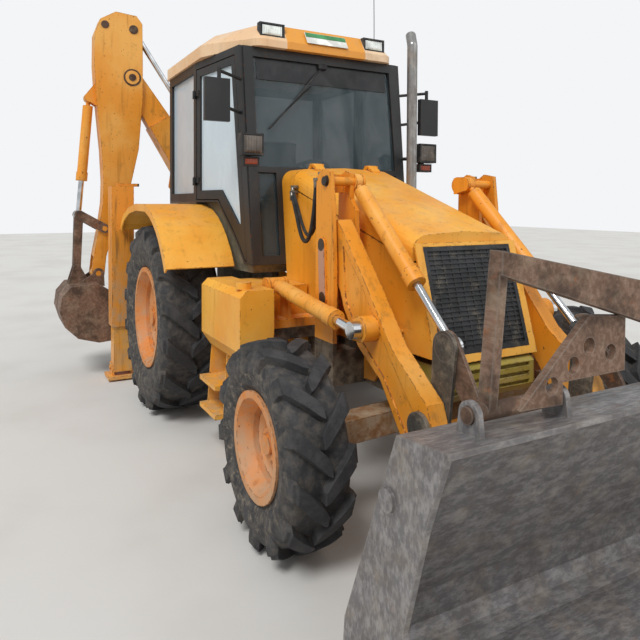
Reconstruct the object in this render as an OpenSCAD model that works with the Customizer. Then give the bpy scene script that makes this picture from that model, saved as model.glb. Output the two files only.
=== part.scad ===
// Backhoe loader: X runs forward from the rear axle, Y to the driver's left, Z up from the ground.
// Millimetres. The digging arm is parked: shifted to the left and swung out to the right.

/* [Wheels] */
// Distance between the axles
wheelbase = 2170; // [2140:10:2200]
// Rear tyre across its lugs
rear_tyre_d = 1420; // [1390:10:1440]
// Rear tyre width
rear_tyre_w = 450; // [400:10:460]
// Rear rim across its flange
rear_rim_d = 760; // [700:10:800]
// Outer face of the rear tyres from the middle
rear_outer_y = 1170; // [1165:5:1185]
// Front tyre across its lugs
front_tyre_d = 960; // [930:10:970]
// Front tyre width
front_tyre_w = 310; // [280:10:315]
// Front rim across its flange
front_rim_d = 500; // [460:10:540]
// Outer face of the front tyres from the middle
front_outer_y = 1150; // [1145:5:1170]
// Height of a lug over the tyre's casing
lug_h = 38; // [25:1:45]
// Lugs on each side of a rear tyre
rear_lugs = 14; // [12:1:16]
// Lugs on each side of a front tyre
front_lugs = 11; // [10:1:14]

/* [Chassis] */
// Outer face of the frame rails from the middle
rail_y = 390; // [380:5:400]
// Thickness of a frame rail
rail_t = 40; // [25:5:60]
// Underside of the frame rails
rail_z = 620; // [600:10:640]
// Height of the frame rails
rail_h = 220; // [200:10:240]
// Thickness of the loader tower plates
tower_t = 24; // [16:2:26]
// Outer face of the fuel tank from the middle
tank_y = 950; // [850:10:970]
// Length of the fuel tank
tank_l = 700; // [600:10:720]

/* [Engine hood] */
// Rear edge of the hood
hood_rear_x = 1075; // [1060:5:1090]
// Front edge of the hood's top
hood_front_x = 2290; // [2250:10:2310]
// Half width of the hood at its rear
hood_rear_y = 396; // [385:1:400]
// Half width of the hood at its front
hood_front_y = 335; // [310:5:340]
// Height of the hood at its rear
hood_rear_z = 1815; // [1780:5:1830]
// Height of the hood at its front
hood_front_z = 1430; // [1400:5:1450]
// Thickness of the hood and panel sheets
sheet_t = 12; // [6:1:16]
// Diameter of the exhaust stack
stack_d = 72; // [60:2:80]
// Height of the exhaust stack's mouth
stack_top_z = 2790; // [2600:10:2850]

/* [Cab] */
// Half width of the cab at its middle pillar
cab_y = 760; // [750:5:775]
// Front edge of the cab at the foot of the windscreen
cab_front_x = 960; // [940:5:975]
// Rear face of the cab
cab_rear_x = -700; // [-740:10:-660]
// Middle pillar, where the doors hang
door_hinge_x = 80; // [60:5:100]
// Floor of the cab
cab_floor_z = 1170; // [1150:5:1185]
// Underside of the cab's roof
cab_top_z = 2670; // [2640:5:2700]
// Lean of the windscreen at the roof
cab_lean = 190; // [160:5:220]
// Turn of the front half of each side towards the hood, in degrees
side_turn = 7.8; // [5:0.2:9]
// Width of the cab's pillars
pillar_w = 70; // [50:5:80]
// Thickness of the cab's side frames
side_t = 45; // [35:5:55]
// Thickness of the cab's glass
glass_t = 6; // [4:1:10]
// Height of the roof
roof_h = 190; // [150:5:220]

/* [Loader] */
// Pivot of the loader arms: x
arm_pivot_x = 1840; // [1830:5:1850]
// Pivot of the loader arms: height
arm_pivot_z = 1365; // [1350:5:1380]
// Height of the lever pins over their pivots
lever_h = 340; // [320:5:350]
// Middle of a loader arm from the middle
arm_y = 510; // [505:1:515]
// Width of a loader arm
arm_w = 90; // [70:5:94]
// Diameter of the lift ram's barrel
lift_ram_d = 88; // [70:2:92]
// Diameter of the tilt ram's barrel
tilt_ram_d = 84; // [70:2:86]
// Width of the shovel
shovel_w = 2340; // [2300:10:2380]
// Thickness of the shovel's plates
shovel_t = 18; // [12:1:22]

/* [Backhoe] */
// Slew axis along the machine
slew_x = -1370; // [-1380:5:-1365]
// Sideways shift of the carriage to the left, as parked
shift_y = 570; // [540:10:580]
// Length of the boom from pin to pin
boom_l = 2430; // [2400:10:2460]
// Lift of the boom over the ground, as parked, in degrees
boom_angle = 56.6; // [56:0.1:57.4]
// Width of the boom
boom_w = 200; // [180:5:220]
// Width of the dipper
dipper_w = 180; // [160:5:200]
// Width of the digging bucket
bucket_w = 580; // [450:10:590]
// Thickness of the digging bucket's plates
bucket_t = 14; // [8:1:20]
// Width of a stabiliser's outer tube
leg_w = 190; // [170:5:200]
// Wall of a stabiliser's outer tube
leg_wall = 12; // [8:1:16]

/* [Clearances] */
// Play between a pin and its bore, on the radius
pin_play = 0.5; // [0.3:0.1:1]
// Side gap between faces that turn on one pin
side_gap = 2; // [1:0.5:3]
// Gap between seated pieces of one body
seat_gap = 0.3; // [0.2:0.1:0.5]
// Gap between a slide and its runner
slide_gap = 0.5; // [0.3:0.1:1]
// Gap round a panel that opens
panel_gap = 7; // [6:1:10]

/* [Hidden] */
$fn = 48;

// Wheels
rear_axle_z = rear_tyre_d / 2;
front_axle_z = front_tyre_d / 2;
rear_y = rear_outer_y - rear_tyre_w / 2;
front_y = front_outer_y - front_tyre_w / 2;
kingpin_y = front_outer_y - front_tyre_w - 45;
tyre_fn = 24;
rim_wall = 14;

// Loader pins, as [x, z] in the plane of the arms
arm_pivot = [arm_pivot_x, arm_pivot_z];
lever_rise = [30, lever_h];
tilt_pin = arm_pivot + lever_rise;
lever_pin = arm_pivot + [810, -740];
knuckle_pin = lever_pin + lever_rise;
nose_pin = arm_pivot + [1045, -1035];
shovel_pin = nose_pin + lever_rise;
lift_pin = arm_pivot + [430, -380];
lift_base = arm_pivot + [-470, -270];
cross_tube = arm_pivot + [730, -825];
pin_d = 50;
boss_r = 62;

// Layers of the loader linkage across the machine, from the middle
arm_in = arm_y - arm_w / 2;
arm_out = arm_y + arm_w / 2;
tower_gap = 12;
lever_t = 16;
lever_y = [arm_in - 6 - lever_t, arm_in - 6];
link_t = 16;
link_y = [lever_y[0] - side_gap - link_t, lever_y[0] - side_gap];
eye_w = 40;
eye_y = [link_y[0] - side_gap - eye_w, link_y[0] - side_gap];
tilt_y = (eye_y[0] + eye_y[1]) / 2;
tower_out = arm_out + tower_gap;
tower_in = eye_y[1] + side_gap + tower_t;
dog_t = 16;
lift_y = tower_out + tower_t + dog_t + 8 + lift_ram_d / 2;
lift_eye = lift_ram_d + 12 - 2 * side_gap;

// Backhoe pins, as [reach from the slew axis, height]
boom_root = [200, 750];
boom_dir = [cos(boom_angle), sin(boom_angle)];
boom_up = [-sin(boom_angle), cos(boom_angle)];
elbow = boom_root + boom_l * boom_dir;
dipper_top = elbow + [-35, 465];
bucket_pin = elbow + [320, -1860];
bucket_ram_base = elbow + [385, -215];
lever_foot = elbow + [260, -1440];
lever_tip = elbow + [480, -1310];
link_foot = elbow + [500, -1805];
dipper_ram_base = boom_root + 1000 * boom_dir + 290 * boom_up;
boom_ram_base = [330, 560];
boom_ram_eye = boom_root + 1330 * boom_dir - 210 * boom_up;

// Sweeps of points along arcs, and bands of even thickness along a line
function arc(c, r, a0, a1, n) = [for (i = [0:n]) c + r * [cos(a0 + (a1 - a0) * i / n), sin(a0 + (a1 - a0) * i / n)]];
function unit(v) = v / norm(v);
function left(v) = [-v[1], v[0]];
function ahead(p, i) = unit(p[min(i + 1, len(p) - 1)] - p[min(i, len(p) - 2)]);
function behind(p, i) = unit(p[max(i, 1)] - p[max(i - 1, 0)]);
function mitre(p, i) = let (m = unit(left(ahead(p, i)) + left(behind(p, i)))) m / (m * left(ahead(p, i)));
function band(p, t) = concat(p, [for (i = [len(p) - 1:-1:0]) p[i] + t * mitre(p, i)]);
function mix(a, b, s) = a + (b - a) * s;
function around(pin, points) = [for (p = points) pin + p];
// A closed outline, anticlockwise, drawn in by g
function inset(p, g) = [for (i = [0:len(p) - 1])
    let (n = len(p), u = left(unit(p[i] - p[(i + n - 1) % n])), v = left(unit(p[(i + 1) % n] - p[i])), m = unit(u + v))
    p[i] + g * m / (m * v)];

// Both sides of the machine
module both() {
    children();
    mirror([0, 1, 0]) children();
}
// One side: -1 is the driver's right, 1 the left
module side(s) {
    if (s > 0) children();
    else mirror([0, 1, 0]) children();
}
// An outline in x and z, from y0 to y1
module plate_xz(points, y0, y1) translate([0, y1, 0]) rotate([90, 0, 0]) linear_extrude(y1 - y0) polygon(points);
// An outline in y and z, from x0 to x1
module plate_yz(points, x0, x1) translate([x0, 0, 0]) rotate([90, 0, 90]) linear_extrude(x1 - x0) polygon(points);
// An outline in x and y, from z0 to z1
module plate_xy(points, z0, z1) translate([0, 0, z0]) linear_extrude(z1 - z0) polygon(points);
// A box between two corners
module block(a, b) translate(a) cube(b - a);
// A round bar along y through a pin [x, z]
module bar_y(p, d, y0, y1) translate([p[0], y1, p[1]]) rotate([90, 0, 0]) cylinder(h = y1 - y0, d = d);
// A round bar between two points
module bar(a, b, d) translate(a) rotate([0, acos((b - a)[2] / norm(b - a)), atan2((b - a)[1], (b - a)[0])]) cylinder(h = norm(b - a), d = d);
// A link plate with round ends between two pins [x, z]
module link_plate(a, b, ra, rb, y0, y1) {
    bar_y(a, 2 * ra, y0, y1);
    bar_y(b, 2 * rb, y0, y1);
    n = left(unit(b - a));
    plate_xz([a - ra * n, b - rb * n, b + rb * n, a + ra * n], y0, y1);
}
// A point on the line from a to b, t from a, in the plane y
function on_ram(a, b, y, t) = let (u = unit(b - a)) [a[0] + t * u[0], y, a[1] + t * u[1]];
// A ram's barrel in the plane y: base eye, hollow tube and gland
module ram_barrel(a, b, y, d, tube_l, eye) difference() {
    union() {
        bar_y(a, 1.7 * pin_d, y - eye / 2, y + eye / 2);
        bar(on_ram(a, b, y, 30), on_ram(a, b, y, 76), min(d, eye) * 0.8);
        bar(on_ram(a, b, y, 75), on_ram(a, b, y, tube_l), d);
        bar(on_ram(a, b, y, tube_l - 60), on_ram(a, b, y, tube_l + 20), d + 12);
    }
    bar_y(a, pin_d + 2 * pin_play, y - d, y + d);
    bar(on_ram(a, b, y, 95), on_ram(a, b, y, tube_l + 30), rod_d(d, eye) + 2 * pin_play);
}
// A ram's rod with its eye, beside the lug that it works on
module ram_rod(a, b, y, d, rod_start, eye) {
    bar_y(b, 1.7 * pin_d, y - eye / 2, y + eye / 2);
    bar(on_ram(a, b, y, rod_start), [b[0], y, b[1]], rod_d(d, eye));
}
rod_part = 0.56;
function rod_d(d, eye) = min(rod_part * d, eye);
// Places the digging arm's plane: [reach, across, up] becomes the parked machine
module arm_plane() translate([slew_x, shift_y, 0]) rotate([0, 0, -90]) children();

// Frame rails, cross members, the loader's towers and the lift rams' brackets
module frame() color("darkgoldenrod") {
    both() difference() {
        block([frame_rear, rail_y - rail_t, rail_z], [frame_front, rail_y, rail_z + rail_h]);
        bar_y([0, rear_axle_z], rear_tube_d + 2 * seat_gap, 0, rear_y);
        block([-rear_tube_d / 2 - seat_gap, 0, 0], [rear_tube_d / 2 + seat_gap, rear_y, rear_axle_z]);
    }
    both() difference() {
        block([-rear_tube_d, rail_y - rail_t, rear_axle_z], [rear_tube_d, rail_y, rear_axle_z + rear_tube_d / 2 + saddle_h]);
        bar_y([0, rear_axle_z], rear_tube_d + 2 * seat_gap, 0, rear_y);
    }
    for (x = [frame_rear, -420, 380, 1000, 1600, frame_front - 60])
        block([x, -rail_y, rail_z + 20], [x + 60, rail_y, rail_z + rail_h - 20]);
    both() tower();
    both() lift_bracket();
}
module tower() {
    sheet = around(arm_pivot, [[-95, -565], [110, -565], [115, -135], [95, 195], [70, 390], [-10, 405], [-80, 365]]);
    inner = around(arm_pivot, [[-95, -565], [110, -565], [112, -135], [104, 180], [46, 245], [46, 385], [-10, 400], [-80, 365]]);
    foot = around(arm_pivot, [[-95, rail_z - arm_pivot_z], [110, rail_z - arm_pivot_z], [110, -560], [-95, -560]]);
    low_web = around(arm_pivot, [[-95, -565], [-65, -565], [-65, -235], [-95, -235]]);
    top_web = around(tilt_pin, [[-90, -60], [-58, -60], [-58, 40], [-90, 40]]);
    cheek = [eye_y[0] - side_gap - 14, eye_y[0] - side_gap];
    plate_xz(sheet, tower_out, tower_out + tower_t);
    plate_xz(inner, tower_in - tower_t, tower_in);
    plate_xz(foot, rail_y - 1, tower_out + tower_t);
    plate_xz(low_web, tower_in - 1, tower_out + 1);
    plate_xz(top_web, cheek[0], tower_out + 1);
    link_plate(tilt_pin, tilt_pin - [60, 5], 44, 50, cheek[0], cheek[1]);
    bar_y(arm_pivot, pin_d, tower_in - 1, tower_out + tower_t + dog_t);
    bar_y(tilt_pin, pin_d, cheek[0], tower_out + tower_t + dog_t);
    link_plate(arm_pivot, arm_pivot + [15, -290], 32, 32, tower_out + tower_t - 1, tower_out + tower_t + dog_t);
}
module lift_bracket() {
    y = [lift_y - lift_eye / 2 - side_gap, lift_y + lift_eye / 2 + side_gap];
    link_plate(lift_base, lift_base + [20, -190], 45, 60, y[0] - 20, y[0]);
    link_plate(lift_base, lift_base + [20, -190], 45, 60, y[1], y[1] + 20);
    bar_y(lift_base, pin_d, y[0] - 1, y[1] + 1);
    block([lift_base[0] - 45, rail_y - 5, lift_base[1] - 320], [lift_base[0] + 85, y[1] + 20, lift_base[1] - 200]);
}
frame_rear = -930;
frame_front = 2240;
rear_tube_d = 190;
saddle_h = 34;
stub_d = 90;
// Engine and gearbox, one plain block
module engine() color("dimgray") {
    low = rail_z + rail_h - 20 + seat_gap;
    block([1150, -280, low], [2050, 280, 1380]);
    block([710, -210, low], [1151, 210, 1060]);
}
// Front axle beam on its centre pivot
module front_axle() color("peru") {
    z = front_axle_z;
    beam = [[-kingpin_y + 70, z - 60], [-300, z - 40], [-150, z - 70], [150, z - 70], [300, z - 40],
        [kingpin_y - 70, z - 60], [kingpin_y - 70, z + 55], [320, z + 75], [140, z + 110], [-140, z + 110],
        [-320, z + 75], [-kingpin_y + 70, z + 55]];
    plate_yz(beam, wheelbase - 70, wheelbase + 70);
    translate([wheelbase, 0, z]) sphere(d = 230);
    both() {
        block([wheelbase - 45, kingpin_y - 75, z - 105], [wheelbase + 45, kingpin_y + 30, z - 80]);
        block([wheelbase - 45, kingpin_y - 75, z + 75], [wheelbase + 45, kingpin_y + 30, z + 100]);
        block([wheelbase - 45, kingpin_y - 80, z - 105], [wheelbase + 45, kingpin_y - 50, z + 100]);
        translate([wheelbase, kingpin_y, z - 105]) cylinder(h = 205, d = 36);
    }
    both() block([wheelbase - 60, 90, z + 60], [wheelbase + 60, 150, rail_z + 20 - seat_gap]);
}
// Rear axle housing with its planet ends and the stubs that carry the wheels
module rear_axle() color("peru") {
    translate([0, 0, rear_axle_z]) sphere(d = 400);
    bar_y([0, rear_axle_z], rear_tube_d, 60 - rear_y, rear_y - 60);
    both() {
        bar_y([0, rear_axle_z], 300, rear_y - 190, rear_y - 60);
        bar_y([0, rear_axle_z], stub_d, rear_y - 61, rear_y + 70);
    }
}

// Hood: a lid that lifts at its front, over fixed side panels
function hood_s(x) = (x - hood_rear_x) / (hood_front_x - hood_rear_x);
function hood_w(x) = mix(hood_rear_y, hood_front_y, hood_s(x));
function hood_z(x) = mix(hood_rear_z, hood_front_z, hood_s(x));
function hood_section(w, top, low) = concat([[-w, low]], arc([90 - w, top - 90], 90, 180, 90, 6),
    [[0, top + 14]], arc([w - 90, top - 90], 90, 90, 0, 6), [[w, low]]);
lid_depth = 130;
module hood_form(inset, x0, x1, depth) hull() {
    for (x = [x0, x1])
        plate_yz(hood_section(hood_w(x) - inset, hood_z(x) - inset, hood_z(x) - depth), x - 0.5, x + 0.5);
}
module hood_lid() color("orange") {
    difference() {
        hood_form(0, hood_rear_x, hood_front_x, lid_depth);
        hood_form(sheet_t, hood_rear_x + sheet_t, hood_front_x - sheet_t, lid_depth + 1);
    }
    both() difference() {
        union() {
            bar_y(hood_hinge, 26, hinge_y - 35, hinge_y + 35);
            plate_xz([hood_hinge + [2, -12], hood_hinge + [60, -40], hood_hinge + [60, -28], hood_hinge + [2, 12]],
                hinge_y - 35, hinge_y + 35);
        }
        bar_y(hood_hinge, hinge_pin_d + 2 * pin_play, hinge_y - 36, hinge_y + 36);
    }
}
hood_hinge = [hood_rear_x - 3, hood_rear_z + 26];
hinge_y = 220;
hinge_pin_d = 14;
// Fixed half of a hood hinge, on the cowl
module hood_hinge_lug() {
    for (y = [hinge_y - 49, hinge_y + 37])
        plate_xz([hood_hinge + [-50, -34], hood_hinge + [-12, -34], hood_hinge + [8, -8], hood_hinge + [10, 10],
            hood_hinge + [-10, 12]], y, y + 12);
    bar_y(hood_hinge, hinge_pin_d, hinge_y - 45, hinge_y + 45);
}
// The slanted strip of one hood side, from inset a to inset b
module hood_strip(a, b, x0, x1, z0, z1)
    plate_xy([[x0, hood_w(x0) - b], [x1, hood_w(x1) - b], [x1, hood_w(x1) - a], [x0, hood_w(x0) - a]], z0, z1);
nose_tilt = 16.6;
nose_h = 600;
grille_w = 580;
grille_h = 540;
module nose_plane() translate([hood_front_x + 8, 0, hood_front_z - lid_depth / 3]) rotate([0, -nose_tilt, 0]) children();
function nose_x(z) = hood_front_x + 8 + (hood_front_z - lid_depth / 3 - z) * tan(nose_tilt);
module hood_sides() color("orange") {
    low = rail_z + rail_h + seat_gap;
    cowl_x = hood_rear_x - panel_gap;
    skirt = [cowl_x, hood_rear_z - lid_depth - panel_gap];
    front_top = hood_front_z - lid_depth - panel_gap;
    outline = [[cowl_x - 20, low], [nose_x(low) + 6, low], [nose_x(front_top) + 6, front_top],
        [hood_front_x, front_top], skirt, [cowl_x - 20, skirt[1]]];
    both() intersection() {
        hood_strip(0, sheet_t, cowl_x - 20, nose_x(low) + 10, 0, hood_rear_z);
        plate_xz(outline, 0, 2 * hood_rear_y);
    }
    difference() {
        plate_yz(hood_section(hood_rear_y, hood_rear_z, low), cab_front_x - 120, cowl_x);
        plate_yz(hood_section(hood_rear_y - sheet_t, hood_rear_z - sheet_t, low - 1), cab_front_x - 121, cowl_x + 1);
        front_plane() block([-400, -500, -500], [seat_gap, 500, front_h]);
    }
    both() hood_hinge_lug();
    nose_plane() difference() {
        plate_yz([[-hood_front_y, -nose_h], [hood_front_y, -nose_h], [hood_front_y, 0], [-hood_front_y, 0]], 0, sheet_t);
        block([-1, -grille_w / 2, -grille_h - 20], [sheet_t + 1, grille_w / 2, -20]);
    }
    y = rail_y + seat_gap;
    both() {
        plate_xz([[tank_x1 + 12, 947], [1738, 947], [1738, 640], [tank_x1 + 12, 700]], y, y + sheet_t);
        plate_xz([[1958, 947], [2230, 947], [2230, 760], [2120, 730], [2060, 650], [1958, 640]], y, y + sheet_t);
        block([tank_x1 + 12, hood_front_y - 20, 935], [1738, y + sheet_t, 935 + sheet_t]);
        block([1958, hood_front_y - 20, 935], [2230, y + sheet_t, 935 + sheet_t]);
    }
}
// Dark grille: a border, with bars in front of a backing plate
module grille() color("#1c2228") nose_plane() {
    g = seat_gap;
    w = grille_w / 2 - g;
    difference() {
        block([-6, -w, -grille_h - 20 + g], [sheet_t, w, -20 - g]);
        block([2, -w + 22, -grille_h + 4], [sheet_t + 1, w - 22, -44]);
    }
    for (z = [-grille_h + 20:24:-50]) block([1, -w + 20, z], [8, w - 20, z + 9]);
    for (y = [-w + 60:52:w - 40]) block([1, y, -grille_h], [6, y + 8, -40]);
}
// Ribbed guard under the grille
module nose_guard() color("#8f8420") {
    rear = frame_front + seat_gap;
    outline = [[rear, 625], [2455, 625], [2490, 665], [2490, 780], [2465, 804], [rear, 804]];
    difference() {
        plate_xz(outline, -300, 300);
        for (z = [665, 710, 755]) block([2470, -270, z], [2500, 270, z + 20]);
    }
}
// Exhaust stack beside the hood, with a mouth that bends back
module exhaust() color("silver") {
    x = hood_rear_x + 150;
    z = 1550;
    elbow_d = stack_d + 30;
    y = hood_w(x) + stack_d / 2 + 34;
    bar([x, hood_w(x - elbow_d / 2) + seat_gap, z], [x, y, z], elbow_d);
    translate([x, y, z]) sphere(d = elbow_d);
    bar([x, y, z], [x, y, z + 130], elbow_d);
    difference() {
        union() {
            bar([x, y, z], [x, y, stack_top_z - 90], stack_d);
            translate([x, y, stack_top_z - 90]) sphere(d = stack_d);
            bar([x, y, stack_top_z - 90], [x - 60, y + 30, stack_top_z], stack_d);
        }
        bar([x - 30, y + 15, stack_top_z - 45], [x - 80, y + 40, stack_top_z + 30], stack_d - 10);
    }
}

// Fuel tank on the right, toolbox on the left, with their steps
tank_x0 = 830;
tank_x1 = tank_x0 + tank_l;
tank_z0 = 650;
tank_z1 = 1090;
module side_box() {
    c = 40;
    outline = [[tank_y - 320, tank_z0], [tank_y - 60, tank_z0], [tank_y, tank_z0 + 90], [tank_y, tank_z1 - c],
        [tank_y - c, tank_z1], [tank_y - 210, tank_z1], [tank_y - 210, tank_z0 + 60], [tank_y - 320, tank_z0 + 60]];
    plate_yz(outline, tank_x0, tank_x1);
    block([tank_x0, rail_y + seat_gap, tank_z0], [lift_base[0] - 90, tank_y - 200, rail_z + rail_h - 5]);
    block([tank_x0, hood_rear_y + 2, rail_z + rail_h - 6], [lift_base[0] - 90, tank_y - 200, tank_z1 - 20]);
    for (z = [430, 250])
        block([tank_x0 + 20, tank_y - 190, z], [tank_x0 + 330, tank_y + 20, z + 30]);
    for (x = [tank_x0 + 20, tank_x0 + 318])
        plate_yz([[tank_y - 150, 250], [tank_y - 30, 250], [tank_y - 60, tank_z0 + 5], [tank_y - 170, tank_z0 + 5]], x, x + 12);
}
module side_boxes() color("orange") {
    both() side_box();
    translate([lift_base[0] + 60, 60 - tank_y, tank_z1 - 1]) cylinder(h = 40, d = 90);
}
// Fenders over the rear tyres, with a rolled outer edge
fender_z = 1575;
fender_line = [[-842, 1345], [-828, 1400], [-700, 1480], [-480, 1545], [-200, fender_z], [140, fender_z - 4],
    [280, 1534], [400, 1483], [500, 1422], [580, 1358], [690, 1240], [750, 1150]];
tub_y = 690;
module fenders() color("orange") both() {
    plate_xz(band(fender_line, -sheet_t), tub_y + seat_gap, rear_outer_y - 5);
    plate_xz(band(fender_line, -55), rear_outer_y - 5 - sheet_t, rear_outer_y - 5);
}

// Cab: two side frames that turn in towards the hood, a windscreen frame and a rear frame
side_slope = cab_lean / (cab_top_z - cab_floor_z);
function lean_x(z) = cab_front_x - (z - cab_floor_z) * side_slope;
door_low = [[door_hinge_x + 12, 1612], [door_hinge_x + 380, 1612], [600, 1480], [700, 1385], [785, 1290], [860, cab_floor_z + 24]];
function door_outline(g) = concat([[door_hinge_x + 12 - g, cab_top_z - 60 + g]],
    [for (p = door_low) p - [g, g]],
    [[lean_x(cab_floor_z + 24) - pillar_w - panel_gap + g, cab_floor_z + 24 - g],
     [lean_x(cab_top_z - 60) - pillar_w - panel_gap + g, cab_top_z - 60 + g]]);
door_window = [[door_hinge_x + 70, cab_top_z - 115], [door_hinge_x + 70, 1680], [door_hinge_x + 420, 1680],
    [650, 1545], [760, 1440], [lean_x(1440) - pillar_w - 60, 1440], [lean_x(cab_top_z - 115) - pillar_w - 60, cab_top_z - 115]];
sill_z = 1590;
sill = [[450, sill_z], [585, 1460], [685, 1365], [770, 1270], [845, cab_floor_z]];
module turned_side() translate([door_hinge_x, cab_y, 0]) rotate([0, 0, -side_turn]) translate([-door_hinge_x, -cab_y, 0]) children();
module side_frame() {
    turned_side() difference() {
        plate_xz(concat([[door_hinge_x - 10, sill_z]], sill, [[cab_front_x, cab_floor_z], [lean_x(cab_top_z), cab_top_z],
            [door_hinge_x - 10, cab_top_z]]), cab_y - side_t, cab_y);
        plate_xz(door_outline(panel_gap), cab_y - side_t - 1, cab_y + 1);
    }
    difference() {
        block([cab_rear_x, cab_y - side_t, sill_z], [door_hinge_x, cab_y, cab_top_z]);
        block([cab_rear_x + pillar_w, cab_y - side_t - 1, 1660], [door_hinge_x - 60, cab_y + 1, cab_top_z - 70]);
    }
}
front_h = (cab_top_z - cab_floor_z) / cos(atan(side_slope));
module front_plane() translate([cab_front_x, 0, cab_floor_z]) rotate([0, -atan(side_slope), 0]) children();
screen_low = 670;
module cab_frame() color("#20211f") {
    both() side_frame();
    front_plane() difference() {
        block([-side_t, -cab_front_y, 0], [0, cab_front_y, front_h]);
        block([-side_t - 1, -cab_front_y + pillar_w, screen_low], [1, cab_front_y - pillar_w, front_h - 70]);
        both() block([-side_t - 1, hood_rear_y + 40, 60], [1, cab_front_y - pillar_w, screen_low - 40]);
    }
    difference() {
        block([cab_rear_x, -cab_y + side_t - 1, sill_z], [cab_rear_x + side_t, cab_y - side_t + 1, cab_top_z]);
        block([cab_rear_x - 1, -cab_y + 90, 1680], [cab_rear_x + side_t + 1, cab_y - 90, cab_top_z - 70]);
    }
    both() {
        mirror_arm();
        lamp_arm();
        for (z = hinge_z) door_hinge_lug(z);
    }
}
cab_front_y = front_y_at(cab_front_x);
function front_y_at(x) = cab_y - (x - door_hinge_x) * tan(side_turn);
module mirror_arm() {
    x = lean_x(2430);
    y = front_y_at(x);
    bar([x - 20, y - 10, 2430], [x + 90, y + 190, 2450], 22);
    bar([x - 20, y - 10, 2200], [x + 90, y + 190, 2230], 22);
    bar([x + 90, y + 190, 2180], [x + 90, y + 190, 2470], 26);
    block([x + 70, y + 120, 2120], [x + 110, y + 290, 2400]);
}
// Arm that carries a headlamp beside the hood
lamp_back_x = 1030;
module lamp_arm() {
    bar([lean_x(1930) - 20, front_y_at(lean_x(1930)) - 15, 1930], [lamp_back_x - 12, 700, 1930], 26);
    block([lamp_back_x - 24, 678, 1830], [lamp_back_x - seat_gap, 722, 2020]);
}
// Glass panes, each let into its frame
module cab_glass() color("#9fb8c4", 0.5) {
    g = seat_gap;
    front_plane() {
        block([-side_t / 2 - glass_t, -cab_front_y + pillar_w + g, screen_low + g], [-side_t / 2, cab_front_y - pillar_w - g, front_h - 70 - g]);
        both() block([-side_t / 2 - glass_t, hood_rear_y + 40 + g, 60 + g], [-side_t / 2, cab_front_y - pillar_w - g, screen_low - 40 - g]);
    }
    block([cab_rear_x + side_t / 2, -cab_y + 90 + g, 1680 + g], [cab_rear_x + side_t / 2 + glass_t, cab_y - 90 - g, cab_top_z - 70 - g]);
    both() block([cab_rear_x + pillar_w + g, cab_y - side_t / 2 - glass_t, 1660 + g], [door_hinge_x - 60 - g, cab_y - side_t / 2, cab_top_z - 70 - g]);
}
// Doors, hung at the middle pillars
module door() difference() {
    turned_side() {
        difference() {
            plate_xz(door_outline(0), cab_y - 38, cab_y - 2);
            plate_xz(door_window, cab_y - 50, cab_y + 10);
        }
        for (z = hinge_z) block([door_hinge_x + 8, cab_y - 5, z - 20], [door_hinge_x + 60, cab_y + 8, z + 20]);
        for (z = hinge_z) translate([door_hinge_x, door_pin_y, z - 20]) cylinder(h = 40, d = 26);
    }
    for (z = hinge_z) translate([door_hinge_x, door_pin_y, z - 21]) cylinder(h = 42, d = hinge_pin_d + 2 * pin_play);
}
hinge_z = [1760, 2430];
door_pin_y = cab_y + 14;
// Fixed half of a door hinge, on the middle pillar
module door_hinge_lug(z) {
    translate([door_hinge_x, door_pin_y, z - 40]) cylinder(h = 18, d = 26);
    translate([door_hinge_x, door_pin_y, z - 40]) cylinder(h = 66, d = hinge_pin_d);
    block([door_hinge_x - 13, cab_y - 3, z - 40], [door_hinge_x + 5, door_pin_y, z - 22]);
}
module door_glass() turned_side() plate_xz(inset(door_window, seat_gap), cab_y - 24, cab_y - 24 + glass_t);
// Floor tub between the rear tyres, with its side walls, on two bearers. Its front follows the cab's turned sides
function tub_front_y(x) = front_y_at(x) - side_t / cos(side_turn) - seat_gap;
turn_x = door_hinge_x + (cab_y - side_t / cos(side_turn) - seat_gap - tub_y) / tan(side_turn);
module cab_floor() color("#3a3a30") {
    wall = concat([[cab_rear_x, sill_z - seat_gap], [cab_rear_x, cab_floor_z - 1]],
        [for (i = [len(sill) - 1:-1:0]) sill[i] - [1, seat_gap]]);
    inner = cab_y - side_t - seat_gap;
    floor_x = 880;
    intersection() {
        plate_xy(concat([[cab_rear_x, -tub_y], [cab_rear_x, tub_y]], [for (x = [turn_x, floor_x]) [x, tub_front_y(x)]],
            [for (x = [floor_x, turn_x]) [x, -tub_front_y(x)]]), cab_floor_z - 60, sill_z);
        union() {
            block([cab_rear_x, -tub_y, cab_floor_z - 60], [floor_x, tub_y, cab_floor_z]);
            both() {
                plate_xz(wall, tub_y - 30, tub_y);
                turned_side() plate_xz(wall, inner - 30, inner);
            }
        }
    }
    block([cab_rear_x, -tub_y, cab_floor_z - 1], [cab_rear_x + 30, tub_y, sill_z - seat_gap]);
    both() {
        block([cab_rear_x, tub_y - 30, fender_z + seat_gap], [door_hinge_x, cab_y, sill_z - seat_gap]);
        block([-500, rail_y - rail_t, rail_z + rail_h + seat_gap], [700, rail_y, cab_floor_z - 59]);
    }
}
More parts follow.
